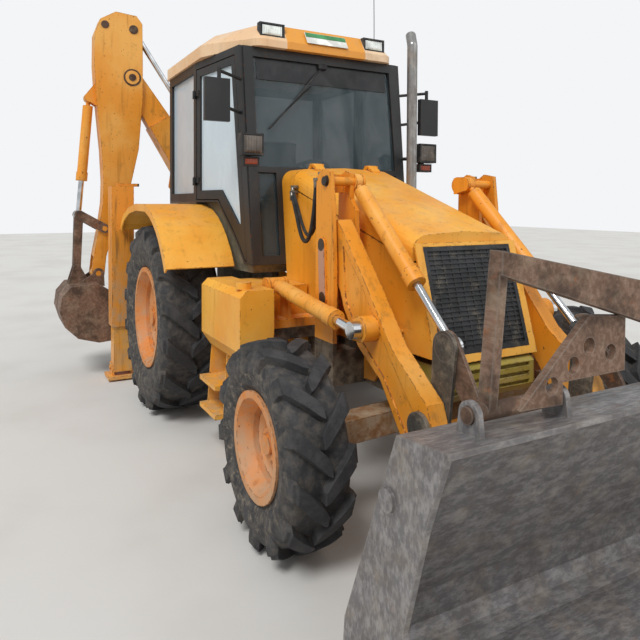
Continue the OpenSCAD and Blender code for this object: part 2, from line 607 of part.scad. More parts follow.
// Roof, crowned, with a sloping front fascia that holds two lamps
module cab_roof() color("wheat") difference() {
    z = cab_top_z + seat_gap;
    hull() {
        for (x = [cab_rear_x + 10, 250], s = [-1, 1])
            translate([x, s * (cab_y - 80), z]) cylinder(h = 90, d = 200, $fn = 32);
        for (s = [-1, 1]) translate([740, s * 500, z]) cylinder(h = 50, d = 160, $fn = 32);
        for (x = [cab_rear_x + 120, 200], s = [-1, 1])
            translate([x, s * (cab_y - 190), z]) cylinder(h = roof_h, d = 160, $fn = 32);
        for (s = [-1, 1]) translate([660, s * 420, z]) cylinder(h = roof_h - 15, d = 160, $fn = 32);
    }
    block([cab_rear_x + 60, -cab_y + 150, z - 1], [560, cab_y - 150, z + 90]);
    both() block([roof_lamp[0] - roof_lamp_size[0] - seat_gap, roof_lamp[1] - roof_lamp_size[1] / 2 - seat_gap,
        roof_lamp[2] - roof_lamp_size[2] / 2 - seat_gap], [900, roof_lamp[1] + roof_lamp_size[1] / 2 + seat_gap,
        roof_lamp[2] + roof_lamp_size[2] / 2 + seat_gap]);
}
roof_lamp = [785, 425, cab_top_z + 126];
roof_lamp_size = [50, 190, 100];
// Dashboard, steering column and wheel, seat base and the digging controls
module cab_controls() color("#26282a") {
    plate_xz([[560, cab_floor_z + seat_gap], [880, cab_floor_z + seat_gap], [866, 1500], [820, 1640], [700, 1660], [640, 1560]], -230, 230);
    bar([690, 0, 1600], [500, 0, 1780], 60);
    translate([500, 0, 1780]) rotate([0, -43, 0]) {
        rotate_extrude() translate([180, 0]) circle(d = 30);
        for (a = [90, 210, 330]) rotate([0, 0, a]) translate([0, -12, -8]) cube([180, 24, 14]);
        cylinder(h = 40, d = 70, center = true);
    }
    block([-180, -200, cab_floor_z + seat_gap], [200, 200, 1480]);
    both() block([-560, 330, cab_floor_z + seat_gap], [-330, 560, 1650]);
    both() bar([-440, 440, 1640], [-400, 440, 1860], 26);
}
module seat_cushion() color("#3b3b3b") {
    block([-200, -240, 1480 + seat_gap], [260, 240, 1600]);
    plate_xz([[-200, 1600], [-80, 1600], [-150, 2130], [-260, 2130]], -235, 235);
}
// Lamps: two in the roof's front, two on arms beside the hood with indicators, two at the rear
module lamp(size) {
    w = size[1] / 2;
    h = size[2] / 2;
    difference() {
        block([-size[0], -w, -h], [0, w, h]);
        block([-18, -w + 12, -h + 12], [1, w - 12, h - 12]);
    }
    block([-19, -w + 11, -h + 11], [-8, w - 11, h - 11]);
}
module work_lamps() color("#17181a") both() {
    translate(roof_lamp) lamp(roof_lamp_size);
    translate([lamp_back_x + 80, 700, 1960]) lamp([80, 150, 140]);
    translate([lamp_back_x + 50, 700, 1852]) lamp([50, 110, 60]);
    translate([cab_rear_x - 90 - seat_gap - 30, 520, cab_top_z + 60]) rotate([0, 0, 180]) lamp([30, 190, 100]);
}

// Wheels: the axle's end is at z = 0 and the outer face towards +z; a lug runs from the middle to the shoulder
module wheel_at(x, y, z, s) translate([x, s * y, z]) rotate([-90 * s, 0, 0]) children();
function bead_r(rim_d) = rim_d / 2 - 22;
function bead_half(w) = 0.39 * w;
module tyre(d, w, rim_d, lugs, skew, lug_w) {
    r = d / 2;
    h = w / 2;
    casing = r - lug_h;
    bore = (bead_r(rim_d) + seat_gap) / cos(180 / tyre_fn);
    belly = (casing + rim_d / 2) / 2;
    rotate_extrude($fn = tyre_fn) polygon([[bore, -bead_half(w)], [rim_d / 2 + 8, -bead_half(w)], [belly, -h],
        [casing - 45, -0.93 * h], [casing, -0.64 * h], [casing, 0.64 * h], [casing - 45, 0.93 * h], [belly, h],
        [rim_d / 2 + 8, bead_half(w)], [bore, bead_half(w)]]);
    for (i = [0:lugs - 1], s = [0, 1]) rotate([0, 0, (i + s / 2) * 360 / lugs - 90]) mirror([0, 0, s])
        lug(lug_end(sqrt(r * r - lug_w * lug_w / 4), casing - 14, 10, lug_w, 0),
            lug_end(r - 24, casing - 75, 0.97 * h, lug_w * 1.1, skew));
}
// The four corners of a lug's end, turned round the axle, and the lug between two ends
function lug_end(top, foot, y, w, turn) = [for (p = [[foot, -w * 0.68], [top, -w / 2], [top, w / 2], [foot, w * 0.68]])
    [p[0] * cos(turn) - p[1] * sin(turn), p[0] * sin(turn) + p[1] * cos(turn), y]];
module lug(inner, outer) polyhedron(concat(inner, outer),
    [[0, 1, 2, 3], [7, 6, 5, 4], [0, 4, 5, 1], [1, 5, 6, 2], [2, 6, 7, 3], [3, 7, 4, 0]]);
module rear_tyre(s) wheel_at(0, rear_y, rear_axle_z, s)
    tyre(rear_tyre_d, rear_tyre_w, rear_rim_d, rear_lugs, 20, 56);
module front_tyre(s) wheel_at(wheelbase, front_y, front_axle_z, s)
    tyre(front_tyre_d, front_tyre_w, front_rim_d, front_lugs, 20, 50);
// A rim: bead seats with flanges, well, dished disc with hand holes, bolts and a bored hub
module rim(w, d, offset, hub_d, hub_h, bore_d, bore_l) {
    h = bead_half(w);
    seat = bead_r(d);
    well = seat - 34;
    flange = h + seat_gap;
    hub_z = offset - 60;
    rotate_extrude() polygon([[seat, -h], [seat, -flange], [d / 2, -flange], [d / 2, -flange - rim_wall],
        [seat - rim_wall, -flange - rim_wall], [well - rim_wall, 60 - h], [well - rim_wall, h - 60],
        [seat - rim_wall, flange + rim_wall], [d / 2, flange + rim_wall], [d / 2, flange], [seat, flange],
        [seat, h - 45], [well, h - 75], [well, 75 - h], [seat, 45 - h]]);
    difference() {
        union() {
            rotate_extrude() polygon([[0, offset - 10], [hub_d * 0.62, offset - 10], [hub_d * 0.85, offset + 18],
                [well - 6, offset + 2], [well - 6, offset + 16], [hub_d * 0.85, offset + 32],
                [hub_d * 0.62, offset + 6], [0, offset + 6]]);
            translate([0, 0, hub_z]) cylinder(h = 60 + hub_h, d = hub_d * 0.8);
            translate([0, 0, offset]) cylinder(h = hub_h + 16, d = hub_d * 0.5);
        }
        for (a = [20:45:335]) rotate([0, 0, a]) translate([(hub_d * 0.85 + well) / 2, 0, offset - 20])
            cylinder(h = 60, d = (well - hub_d * 0.85) * 0.45);
        translate([0, 0, hub_z - 1]) cylinder(h = bore_l + 1, d = bore_d + 2 * pin_play);
    }
    for (a = [0:45:315]) rotate([0, 0, a]) translate([hub_d * 0.52, 0, offset]) cylinder(h = 26, d = 26);
}
module rear_rim(s) wheel_at(0, rear_y, rear_axle_z, s) rim(rear_tyre_w, rear_rim_d, 70, 280, 60, stub_d, 72);
module front_rim(s) wheel_at(wheelbase, front_y, front_axle_z, s)
    rim(front_tyre_w, front_rim_d, 10, 190, 50, front_stub_d, 72);
front_stub_d = 60;
kingpin_d = 36;
// Steering knuckle round its kingpin, with the stub that carries the wheel
module knuckle() difference() {
    union() {
        translate([wheelbase, kingpin_y, front_axle_z - 78]) cylinder(h = 151, d = 96);
        bar_y([wheelbase, front_axle_z], 110, kingpin_y, front_y - 60);
        bar_y([wheelbase, front_axle_z], front_stub_d, front_y - 61, front_y + 20);
        block([wheelbase - 170, kingpin_y - 18, front_axle_z - 18], [wheelbase - 30, kingpin_y + 18, front_axle_z + 18]);
    }
    translate([wheelbase, kingpin_y, front_axle_z - 110]) cylinder(h = 220, d = kingpin_d + 2 * pin_play);
}

// Loader arms: banana-shaped boxes on one cross tube, with sunk outer faces
arm_outline = around(arm_pivot, [[-60, -60], [120, -235], [160, -325], [300, -495], [500, -615], [720, -895],
    [980, -1100], [1100, -1080], [1110, -975], [900, -770], [850, -635], [590, -445], [345, -150], [90, 135],
    [10, 105], [-50, 75]]);
arm_panel = around(arm_pivot, [[175, -280], [320, -455], [520, -590], [730, -840], [800, -740], [570, -485],
    [330, -190], [150, 0]]);
nose_cut = 18;
module arm() {
    difference() {
        union() {
            plate_xz(arm_outline, arm_in, arm_out);
            bar_y(arm_pivot, 160, arm_in, arm_out);
            bar_y(nose_pin, 2 * boss_r, arm_in, arm_out);
        }
        plate_xz(arm_panel, arm_out - 6, arm_out + 1);
        bar_y(nose_pin, 260, arm_in - 1, arm_in + nose_cut);
        for (p = [arm_pivot, lever_pin, nose_pin]) bar_y(p, pin_d + 2 * pin_play, arm_in - 1, arm_out + 1);
    }
    bar_y(lift_pin, 2 * boss_r, arm_out - 8, lift_y - rod_part * lift_ram_d / 2 - side_gap);
}
module loader_arms() color("orange") {
    both() arm();
    bar_y(cross_tube, 100, -arm_in - 5, arm_in + 5);
}
// Lift rams outside the arms, tilt rams from the towers to the knuckles
module lift_barrels() color("orange") both() ram_barrel(lift_base, lift_pin, lift_y, lift_ram_d, 720, lift_eye);
module lift_rods() color("silver") both() ram_rod(lift_base, lift_pin, lift_y, lift_ram_d, 400, rod_part * lift_ram_d);
module tilt_barrels() color("orange") both() ram_barrel(tilt_pin, knuckle_pin, tilt_y, tilt_ram_d, 720, eye_w);
module tilt_rods() color("silver") both() ram_rod(tilt_pin, knuckle_pin, tilt_y, tilt_ram_d, 300, eye_w);
// Pins that carry the levers on the arms, and the shovel on the arms' noses, with the shaft that joins the noses
knuckle_d = 120;
lever_bore_d = 96;
nose_shaft_d = 160;
module lever_pins() color("dimgray") both() {
    bar_y(lever_pin, lever_bore_d, lever_y[0], lever_y[1] + 2);
    bar_y(lever_pin, pin_d, lever_y[1], arm_out + 10);
    bar_y(lever_pin, 140, arm_out + 2, arm_out + 22);
}
module nose_pins() color("dimgray") {
    both() bar_y(nose_pin, pin_d, lug_y[0] - 6, lug_y[3] + 6);
    bar_y(nose_pin, nose_shaft_d, 3 - lug_y[0], lug_y[0] - 3);
}
lug_y = [arm_in - 2, arm_in + nose_cut - 2, arm_out + 2, arm_out + 18];
module tip_levers() color("orange") both() difference() {
    link_plate(lever_pin, knuckle_pin, lever_bore_d / 2 + 14, knuckle_d / 2 + 14, lever_y[0], lever_y[1]);
    bar_y(lever_pin, lever_bore_d + 2 * pin_play, lever_y[0] - 1, lever_y[1] + 1);
    bar_y(knuckle_pin, knuckle_d + 2 * pin_play, lever_y[0] - 1, lever_y[1] + 1);
}
module tip_knuckles() color("#1d1d1d") both() bar_y(knuckle_pin, knuckle_d, link_y[0], lever_y[1]);
module tip_links() color("orange") both() difference() {
    link_plate(knuckle_pin, shovel_pin, knuckle_d / 2 + 14, 38, link_y[0], link_y[1]);
    bar_y(knuckle_pin, knuckle_d + 2 * pin_play, link_y[0] - 1, link_y[1] + 1);
}
// Shovel: one wrapped plate between two end plates, with a cutting edge, lugs and ears for the fork frame
shovel_line = around(nose_pin, [[675, -306], [245, -306], [175, -270], [151, -200], [163, -80], [440, 605], [663, 632]]);
shovel_side = concat(shovel_line, around(nose_pin, [[575, 390], [480, 60], [520, -150]]));
shovel_lug = around(nose_pin, [[-30, -45], [60, -120], [158, -190], [169, -80], [306, 258], [200, 250], [60, 70], [-30, 45]]);
tilt_lug = around(nose_pin, [[30, 302], [296, 240], [357, 390], [30, 378]]);
fork_pin = [nose_pin[0] + 565, nose_pin[1] + 675];
fork_d = 50;
ear_y = [[655, 675], [1000, 1018]];
module shovel() color("#77726c") {
    half = shovel_w / 2;
    lip = shovel_line[0];
    plate_xz(band(shovel_line, -shovel_t), -half, half);
    difference() {
        plate_xz([lip + [-160, 1], lip + [10, 1], lip + [28, -8], lip + [4, -18], lip + [-160, -18]], -half, half);
        for (y = [-half + 95:195:half - 90]) translate([lip[0] - 120, y, 0]) cylinder(h = 2 * lip[1], r = 10);
    }
    both() {
        plate_xz(shovel_side, half - shovel_t, half);
        bar_y(nose_pin + [405, 405], 70, half - 1, half + 12);
        for (i = [0, 2]) difference() {
            union() {
                plate_xz(shovel_lug, lug_y[i], lug_y[i + 1]);
                bar_y(nose_pin, 110, lug_y[i], lug_y[i + 1]);
            }
            bar_y(nose_pin, pin_d + 2 * pin_play, lug_y[i] - 1, lug_y[i + 1] + 1);
        }
        plate_xz(tilt_lug, eye_y[1] - 18, eye_y[1]);
        bar_y(shovel_pin, 76, eye_y[1] - 18, eye_y[1]);
        for (y = ear_y) difference() {
            union() {
                bar_y(fork_pin, 80, y[0], y[1]);
                plate_xz(around(fork_pin, [[-50, -66], [48, -54], [40, 0], [-40, 0]]), y[0], y[1]);
            }
            bar_y(fork_pin, fork_d + 2 * pin_play, y[0] - 1, y[1] + 1);
        }
    }
}
// Rusty fork frame that folds over the shovel's mouth
module fork_frame() color("#5c3a28") both() {
    x = fork_pin[0];
    z = fork_pin[1];
    bar_y(fork_pin, fork_d, ear_y[0][0] - 8, ear_y[1][1] + 8);
    plate_xz(around(fork_pin, [[-24, 0], [24, 0], [62, 420], [18, 430]]), 935, 965);
    plate_yz([[-1, z + 105], [350, z + 210], [965, z + 390], [965, z + 457], [350, z + 340], [-1, z + 265]], x + 20, x + 68);
    difference() {
        plate_yz([[400, z + 55], [685, z + 55], [685, z - 12], [860, z - 5], [570, z + 245], [400, z + 230]], x + 12, x + 37);
        for (p = [[470, 120], [570, 150], [640, 100], [730, 50]])
            translate([x, p[0], z + p[1]]) rotate([0, 90, 0]) cylinder(h = 60, d = 52);
    }
}

// Rear frame: two slide rails between the stabilisers' tubes, and posts on the frame's ends
rail_back = -1040;
leg_x = rail_back + leg_w / 2;
leg_y = 1140;
leg_z = [480, 1730];
slide_z = [430, 1030];
slide_h = 110;
slide_t = 55;
module rear_frame() color("darkgoldenrod") {
    w = leg_w / 2;
    for (z = slide_z) block([rail_back, -leg_y + w - 2, z], [rail_back + slide_t, leg_y - w + 2, z + slide_h]);
    both() {
        block([rail_back + slide_t - 1, rail_y - 70, slide_z[0]], [frame_rear - seat_gap, rail_y + 20, slide_z[1] + slide_h]);
        difference() {
            block([leg_x - w, leg_y - w, leg_z[0]], [leg_x + w, leg_y + w, leg_z[1]]);
            block([leg_x - w + leg_wall, leg_y - w + leg_wall, leg_z[0] - 1],
                [leg_x + w - leg_wall, leg_y + w - leg_wall, leg_z[1] - leg_wall]);
        }
        block([leg_x - 30, leg_y - w - 60, leg_z[1] - 1], [leg_x + 30, leg_y + w - 60, leg_z[1] + 25]);
    }
}
// Stabiliser: inner leg in its tube, with a yoke over a ribbed pad
pad_z = 15;
module stabiliser() {
    t = leg_w / 2 - leg_wall - 5;
    pad = [leg_x, leg_y, pad_z];
    shoe = leg_w / 2 - leg_wall - slide_gap;
    block(pad + [-t, -t, 60], pad + [t, t, leg_z[0] + 700]);
    block(pad + [-shoe, -shoe, leg_z[0] + 600], pad + [shoe, shoe, leg_z[0] + 660]);
    block(pad + [-115, -130, 0], pad + [115, 130, 28]);
    for (y = [-92, 70]) block(pad + [-60, y, 27], pad + [60, y + 22, 130]);
    bar_y([leg_x, pad_z + 95], 46, leg_y - 105, leg_y + 105);
}
// Carriage that slides along the rails, hooked over them, with the lugs of the slew pins
carriage_t = 38;
slew_pin_d = 80;
slew_lug_z = [[440, 500], [1000, 1060]];
module carriage() color("#2b2b29") {
    x1 = rail_back - slide_gap;
    x0 = x1 - carriage_t;
    low = slide_z[0] - slide_gap;
    top = slide_z[1] + slide_h + slide_gap;
    difference() {
        block([x0, shift_y - 300, low - 24], [x1, shift_y + 300, top + 24]);
        block([x0 - 1, shift_y - 150, slew_lug_z[0][1] + 90], [x1 + 1, shift_y + 150, slew_lug_z[1][0] - 90]);
    }
    block([x1 - 1, shift_y - 300, low - 24], [rail_back + 40, shift_y + 300, low]);
    block([x1 - 1, shift_y - 300, top], [rail_back + 40, shift_y + 300, top + 24]);
    for (z = slew_lug_z) difference() {
        union() {
            translate([slew_x, shift_y, z[0]]) cylinder(h = z[1] - z[0], d = 190);
            block([slew_x, shift_y - 95, z[0]], [x0 + 1, shift_y + 95, z[1]]);
        }
        translate([slew_x, shift_y, z[0] - 1]) cylinder(h = z[1] - z[0] + 2, d = slew_pin_d + 2 * pin_play);
    }
    for (s = [-1, 1], z = slew_lug_z) plate_xy([[x0 - 90, shift_y + s * 94], [x0 + 1, shift_y + s * 94],
        [x0 + 1, shift_y + s * 200]], z[0], z[1]);
}
// King post that slews in those lugs: column, cheeks for the boom and a rib for its ram
boom_pin_d = 60;
cheek_y = [boom_w / 2 + 5, boom_w / 2 + 30];
ram_lug_y = [27, 47];
module king_post() color("darkgoldenrod") arm_plane() {
    low = slew_lug_z[0][1] + side_gap;
    top = slew_lug_z[1][0] - side_gap;
    translate([0, 0, slew_lug_z[0][0] - 8]) cylinder(h = slew_lug_z[1][1] - slew_lug_z[0][0] + 16, d = slew_pin_d);
    translate([0, 0, low]) cylinder(h = top - low, d = 170);
    block([-60, -cheek_y[1], 620], [70, cheek_y[1], 880]);
    for (s = [-1, 1]) {
        y = s * (cheek_y[0] + cheek_y[1]) / 2;
        link_plate([0, 750], boom_root, 110, 80, y - 12.5, y + 12.5);
        link_plate(boom_ram_base, boom_ram_base - [90, 10], 45, 50, s * 37 - 10, s * 37 + 10);
    }
    plate_xz([[40, low], [250, low], [250, 615], [40, 640]], -ram_lug_y[1], ram_lug_y[1]);
    bar_y(boom_root, boom_pin_d, -cheek_y[1], cheek_y[1]);
    bar_y(boom_ram_base, pin_d, -ram_lug_y[1], ram_lug_y[1]);
}
// Boom: two side plates, open below for its ram, then a box up to a narrower head
function on_boom(t, up) = boom_root + t * boom_dir + up * boom_up;
boom_plate = [for (p = [[-70, -70], [60, -95], [500, -135], [1400, -150], [1950, -120], [1950, 120], [1500, 150],
    [1100, 165], [600, 150], [60, 95], [-70, 70]]) on_boom(p[0], p[1])];
boom_t = 25;
head_y = 60;
module boom() color("orange") arm_plane() {
    w = boom_w / 2;
    in = w - boom_t;
    difference() {
        union() {
            for (y = [-w, in]) plate_xz(boom_plate, y, y + boom_t);
            plate_xz([for (p = [[300, 105], [600, 130], [1100, 145], [1500, 130], [1950, 100], [1950, 120], [1500, 150],
                [1100, 165], [600, 150], [300, 121]]) on_boom(p[0], p[1])], -w, w);
            plate_xz([for (p = [[1400, -149], [1420, -149], [1420, 149], [1400, 149]]) on_boom(p[0], p[1])], -w, w);
            plate_xz([for (p = [[1400, -150], [1950, -120], [1950, -100], [1400, -130]]) on_boom(p[0], p[1])], -w, w);
            plate_xz([for (p = [[1930, -120], [1950, -120], [1950, 120], [1930, 120]]) on_boom(p[0], p[1])], -w, w);
            plate_xz([for (p = [[1945, -118], [boom_l - 20, -93], [boom_l - 20, 93], [1945, 118]]) on_boom(p[0], p[1])],
                -head_y, head_y);
            bar_y(elbow, 190, -head_y, head_y);
            bar_y(boom_root, 140, -w, w);
        }
        bar_y(boom_root, boom_pin_d + 2 * pin_play, -w - 1, w + 1);
        bar_y(elbow, boom_pin_d + 2 * pin_play, -w - 1, w + 1);
    }
    for (s = [-1, 1]) {
        y = s * (ram_lug_y[0] + ram_lug_y[1]) / 2;
        t = (ram_lug_y[1] - ram_lug_y[0]) / 2;
        plate_xz([on_boom(1401, -120), on_boom(1300, -255), on_boom(1360, -255), on_boom(1500, -130), on_boom(1500, -120)],
            y - t, y + t);
        bar_y(boom_ram_eye, 84, y - t, y + t);
        plate_xz([on_boom(820, 150), on_boom(1110, 150), on_boom(1030, 325), on_boom(960, 325)], y - t, y + t);
        bar_y(dipper_ram_base, 90, y - t, y + t);
    }
    bar_y(dipper_ram_base, pin_d, -ram_lug_y[0] - 1, ram_lug_y[0] + 1);
}
ram_eye_w = 50;
module boom_barrel() color("orange") arm_plane() ram_barrel(boom_ram_base, boom_ram_eye, 0, 100, 880, ram_eye_w);
module boom_rod() color("silver") arm_plane() ram_rod(boom_ram_base, boom_ram_eye, 0, 100, 560, ram_eye_w);
module dipper_barrel() color("orange") arm_plane() ram_barrel(dipper_ram_base, dipper_top, 0, 90, 900, ram_eye_w);
module dipper_rod() color("silver") arm_plane() ram_rod(dipper_ram_base, dipper_top, 0, 90, 860, ram_eye_w);
module bucket_barrel() color("orange") arm_plane() ram_barrel(bucket_ram_base, lever_tip, 0, 90, 760, ram_eye_w);
module bucket_rod() color("silver") arm_plane() ram_rod(bucket_ram_base, lever_tip, 0, 90, 420, ram_eye_w);
// Dipper: two side plates with webs, lugs for its ram and the bucket's, and the bucket pin's boss
dipper_in = [[-95, 520], [-98, 200], [-98, -180], [-58, -680], [12, -1000], [110, -1300], [190, -1500], [245, -1700],
    [262, -1860]];
dipper_out = [[378, -1860], [360, -1700], [310, -1440], [275, -1200], [268, -1000], [282, -700], [330, -180],
    [345, 100], [340, 380], [290, 520], [150, 605], [-40, 590]];
dipper_t = 25;
module dipper() color("orange") arm_plane() {
    w = dipper_w / 2;
    out = around(elbow, [for (i = [1:8]) dipper_out[i]]);
    low = around(elbow, [for (i = [3:7]) dipper_in[i]]);
    top = around(elbow, [[340, 380], [290, 520], [150, 605], [48, 597]]);
    for (y = [-w, w - dipper_t]) plate_xz(around(elbow, concat(dipper_in, dipper_out)), y, y + dipper_t);
    bar_y(elbow, boom_pin_d, -w - 10, w + 10);
    plate_xz(band(out, 18), -w, w);
    plate_xz(band(low, 18), -w, w);
    plate_xz(band(top, 18), -w, w);
    bar_y(bucket_pin, 116, -w, w);
    bar_y(bucket_pin, pin_d, -ear_out_y[1], ear_out_y[1]);
    bar_y(lever_foot, 90, -w, w);
    bar_y(lever_foot, pin_d, -lever_side_y[1], lever_side_y[1]);
    for (s = [-1, 1]) {
        y = s * (ram_lug_y[0] + ram_lug_y[1]) / 2;
        t = (ram_lug_y[1] - ram_lug_y[0]) / 2;
        bar_y(dipper_top, 90, s > 0 ? ram_lug_y[0] : -w, s > 0 ? w : -ram_lug_y[0]);
        plate_xz(around(elbow, [[320, -60], [410, -180], [412, -235], [320, -290]]), y - t, y + t);
        bar_y(bucket_ram_base, 84, y - t, y + t);
    }
    bar_y(bucket_ram_base, pin_d, -ram_lug_y[0] - 1, ram_lug_y[0] + 1);
}
// Tipping lever and link of the bucket
lever_side_y = [dipper_w / 2 + 5, dipper_w / 2 + 21];
ear_out_y = [dipper_w / 2 + 5, dipper_w / 2 + 23];
bucket_link_y = [26, 44];
module bucket_lever() color("#3a2c24") arm_plane() for (s = [-1, 1]) {
    y = s * (lever_side_y[0] + lever_side_y[1]) / 2;
    difference() {
        link_plate(lever_foot, lever_tip, 42, 40, y - 8, y + 8);
        bar_y(lever_foot, pin_d + 2 * pin_play, y - 9, y + 9);
    }
    bar_y(lever_tip, pin_d, s > 0 ? bucket_link_y[0] : -lever_side_y[0] - 1, s > 0 ? lever_side_y[0] + 1 : -bucket_link_y[0]);
}
module bucket_link() color("#3a2c24") arm_plane() {
    difference() {
        for (s = [-1, 1]) {
            y = s * (bucket_link_y[0] + bucket_link_y[1]) / 2;
            link_plate(lever_tip, link_foot, 38, 34, y - 9, y + 9);
        }
        bar_y(lever_tip, pin_d + 2 * pin_play, -bucket_link_y[1] - 1, bucket_link_y[1] + 1);
    }
    u = unit(link_foot - lever_tip);
    n = left(u);
    a = lever_tip + 230 * u;
    b = lever_tip + 400 * u;
    plate_xz([a - 12 * n, b - 12 * n, b + 12 * n, a + 12 * n], -bucket_link_y[0] - 1, bucket_link_y[0] + 1);
}
// Digging bucket: wrapped plate, end plates, teeth, ears for the link and for the dipper
bucket_line = around(bucket_pin, [[-330, -520], [-120, -600], [20, -612], [200, -560], [310, -450], [352, -310],
    [335, -180], [260, -90], [20, -75]]);
module bucket() color("#4a3a30") arm_plane() {
    w = bucket_w / 2;
    plate_xz(band(bucket_line, bucket_t), -w, w);
    for (y = [-w, w - bucket_t]) plate_xz(concat(bucket_line, around(bucket_pin, [[-60, -130], [-120, -330]])), y, y + bucket_t);
    for (i = [0:4]) {
        y = -w + 20 + i * (bucket_w - 100) / 4;
        plate_xz(around(bucket_pin, [[-250, -570], [-440, -492], [-446, -478], [-240, -530]]), y, y + 60);
    }
    for (s = [-1, 1]) {
        link_c = s * (bucket_link_y[1] + 11);
        ear_c = s * (ear_out_y[0] + ear_out_y[1]) / 2;
        plate_xz(concat([link_foot + [-36, 0]], around(bucket_pin, [[70, -85], [262, -94]]), [link_foot + [36, 0]]),
            link_c - 9, link_c + 9);
        bar_y(link_foot, 72, link_c - 9, link_c + 9);
        difference() {
            union() {
                plate_xz(around(bucket_pin, [[-50, 0], [-55, -120], [200, -100], [50, 0]]), ear_c - 9, ear_c + 9);
                bar_y(bucket_pin, 100, ear_c - 9, ear_c + 9);
            }
            bar_y(bucket_pin, pin_d + 2 * pin_play, ear_c - 10, ear_c + 10);
        }
    }
}

frame();
engine();
front_axle();
rear_axle();
hood_sides();
grille();
nose_guard();
hood_lid();
exhaust();
side_boxes();
fenders();
cab_frame();
cab_floor();
cab_roof();
cab_glass();
color("#20211f") side(-1) door();  // door_right
color("#20211f") side(1) door();  // door_left
color("#9fb8c4", 0.5) side(-1) door_glass();  // door_glass_right
color("#9fb8c4", 0.5) side(1) door_glass();  // door_glass_left
cab_controls();
seat_cushion();
work_lamps();
color("peru") side(-1) knuckle();  // knuckle_right
color("peru") side(1) knuckle();  // knuckle_left
color("orange") front_rim(-1);  // rim_front_right
color("orange") front_rim(1);  // rim_front_left
color("#2a2a2a") front_tyre(-1);  // tyre_front_right
color("#2a2a2a") front_tyre(1);  // tyre_front_left
color("orange") rear_rim(-1);  // rim_rear_right
color("orange") rear_rim(1);  // rim_rear_left
color("#2a2a2a") rear_tyre(-1);  // tyre_rear_right
color("#2a2a2a") rear_tyre(1);  // tyre_rear_left
loader_arms();
lift_barrels();
lift_rods();
tilt_barrels();
tilt_rods();
lever_pins();
tip_levers();
tip_knuckles();
tip_links();
nose_pins();
shovel();
fork_frame();
rear_frame();
color("#2b2b29") side(-1) stabiliser();  // stabiliser_right
color("#2b2b29") side(1) stabiliser();  // stabiliser_left
carriage();
king_post();
boom();
dipper();
boom_barrel();
boom_rod();
dipper_barrel();
dipper_rod();
bucket_barrel();
bucket_rod();
bucket_lever();
bucket_link();
bucket();
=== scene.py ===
import math
import random

import bmesh
import bpy
from mathutils import Matrix, Vector


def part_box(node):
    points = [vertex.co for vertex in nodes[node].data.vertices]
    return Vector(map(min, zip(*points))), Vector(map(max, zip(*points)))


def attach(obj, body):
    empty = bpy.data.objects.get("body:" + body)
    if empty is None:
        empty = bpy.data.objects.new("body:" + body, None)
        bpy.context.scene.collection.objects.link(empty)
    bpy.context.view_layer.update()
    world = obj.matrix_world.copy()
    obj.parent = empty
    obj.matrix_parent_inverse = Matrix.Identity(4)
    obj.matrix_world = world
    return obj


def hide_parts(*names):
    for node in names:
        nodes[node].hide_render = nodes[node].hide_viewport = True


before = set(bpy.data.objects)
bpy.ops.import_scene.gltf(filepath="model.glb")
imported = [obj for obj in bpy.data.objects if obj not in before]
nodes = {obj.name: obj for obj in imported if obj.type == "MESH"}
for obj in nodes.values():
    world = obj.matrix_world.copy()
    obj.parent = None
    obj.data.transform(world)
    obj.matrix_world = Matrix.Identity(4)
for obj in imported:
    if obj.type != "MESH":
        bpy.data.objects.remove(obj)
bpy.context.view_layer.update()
random.seed(11)


# ---- camera, light and floor

CAMERA_AT = (4.711, -2.168, 1.588)
# yaw from straight back towards the machine's left, pitch down, and roll, in degrees
CAMERA_TURN = (28.46, 1.39, 0.23)
CAMERA_LENS = 34.15
CAMERA_SENSOR = 36
CAMERA_SHIFT_Y = -0.16

# name, direction, strength, width of the light in degrees
SUNS = (("key", (-0.45, 0.62, -1.0), 1.95, 22), ("fill", (-0.8, -0.5, -0.5), 0.45, 60))
# colour and strength of the world, as it lights the machine and as the camera sees it
WORLD_LIT = ((0.95, 0.98, 1.0, 1), 0.55)
WORLD_SEEN = ((0.97, 0.98, 1.0, 1), 0.93)

FLOOR_SIZE = 60
FLOOR_AT = (1.2, 0, -0.001)


def make_camera():
    yaw, pitch, roll = map(math.radians, CAMERA_TURN)
    level = math.cos(pitch)
    ahead = Vector((-math.cos(yaw) * level, math.sin(yaw) * level, -math.sin(pitch)))
    right = ahead.cross(Vector((0, 0, 1))).normalized()
    up = right.cross(ahead)
    turned = Matrix((right, up, -ahead)).transposed() @ Matrix.Rotation(roll, 3, "Z")
    data = bpy.data.cameras.new("camera")
    data.sensor_width = CAMERA_SENSOR
    data.lens = CAMERA_LENS
    data.shift_y = CAMERA_SHIFT_Y
    camera = bpy.data.objects.new("camera", data)
    camera.matrix_world = Matrix.Translation(CAMERA_AT) @ turned.to_4x4()
    bpy.context.collection.objects.link(camera)
    bpy.context.scene.camera = camera
    bpy.context.scene.view_settings.view_transform = "Standard"


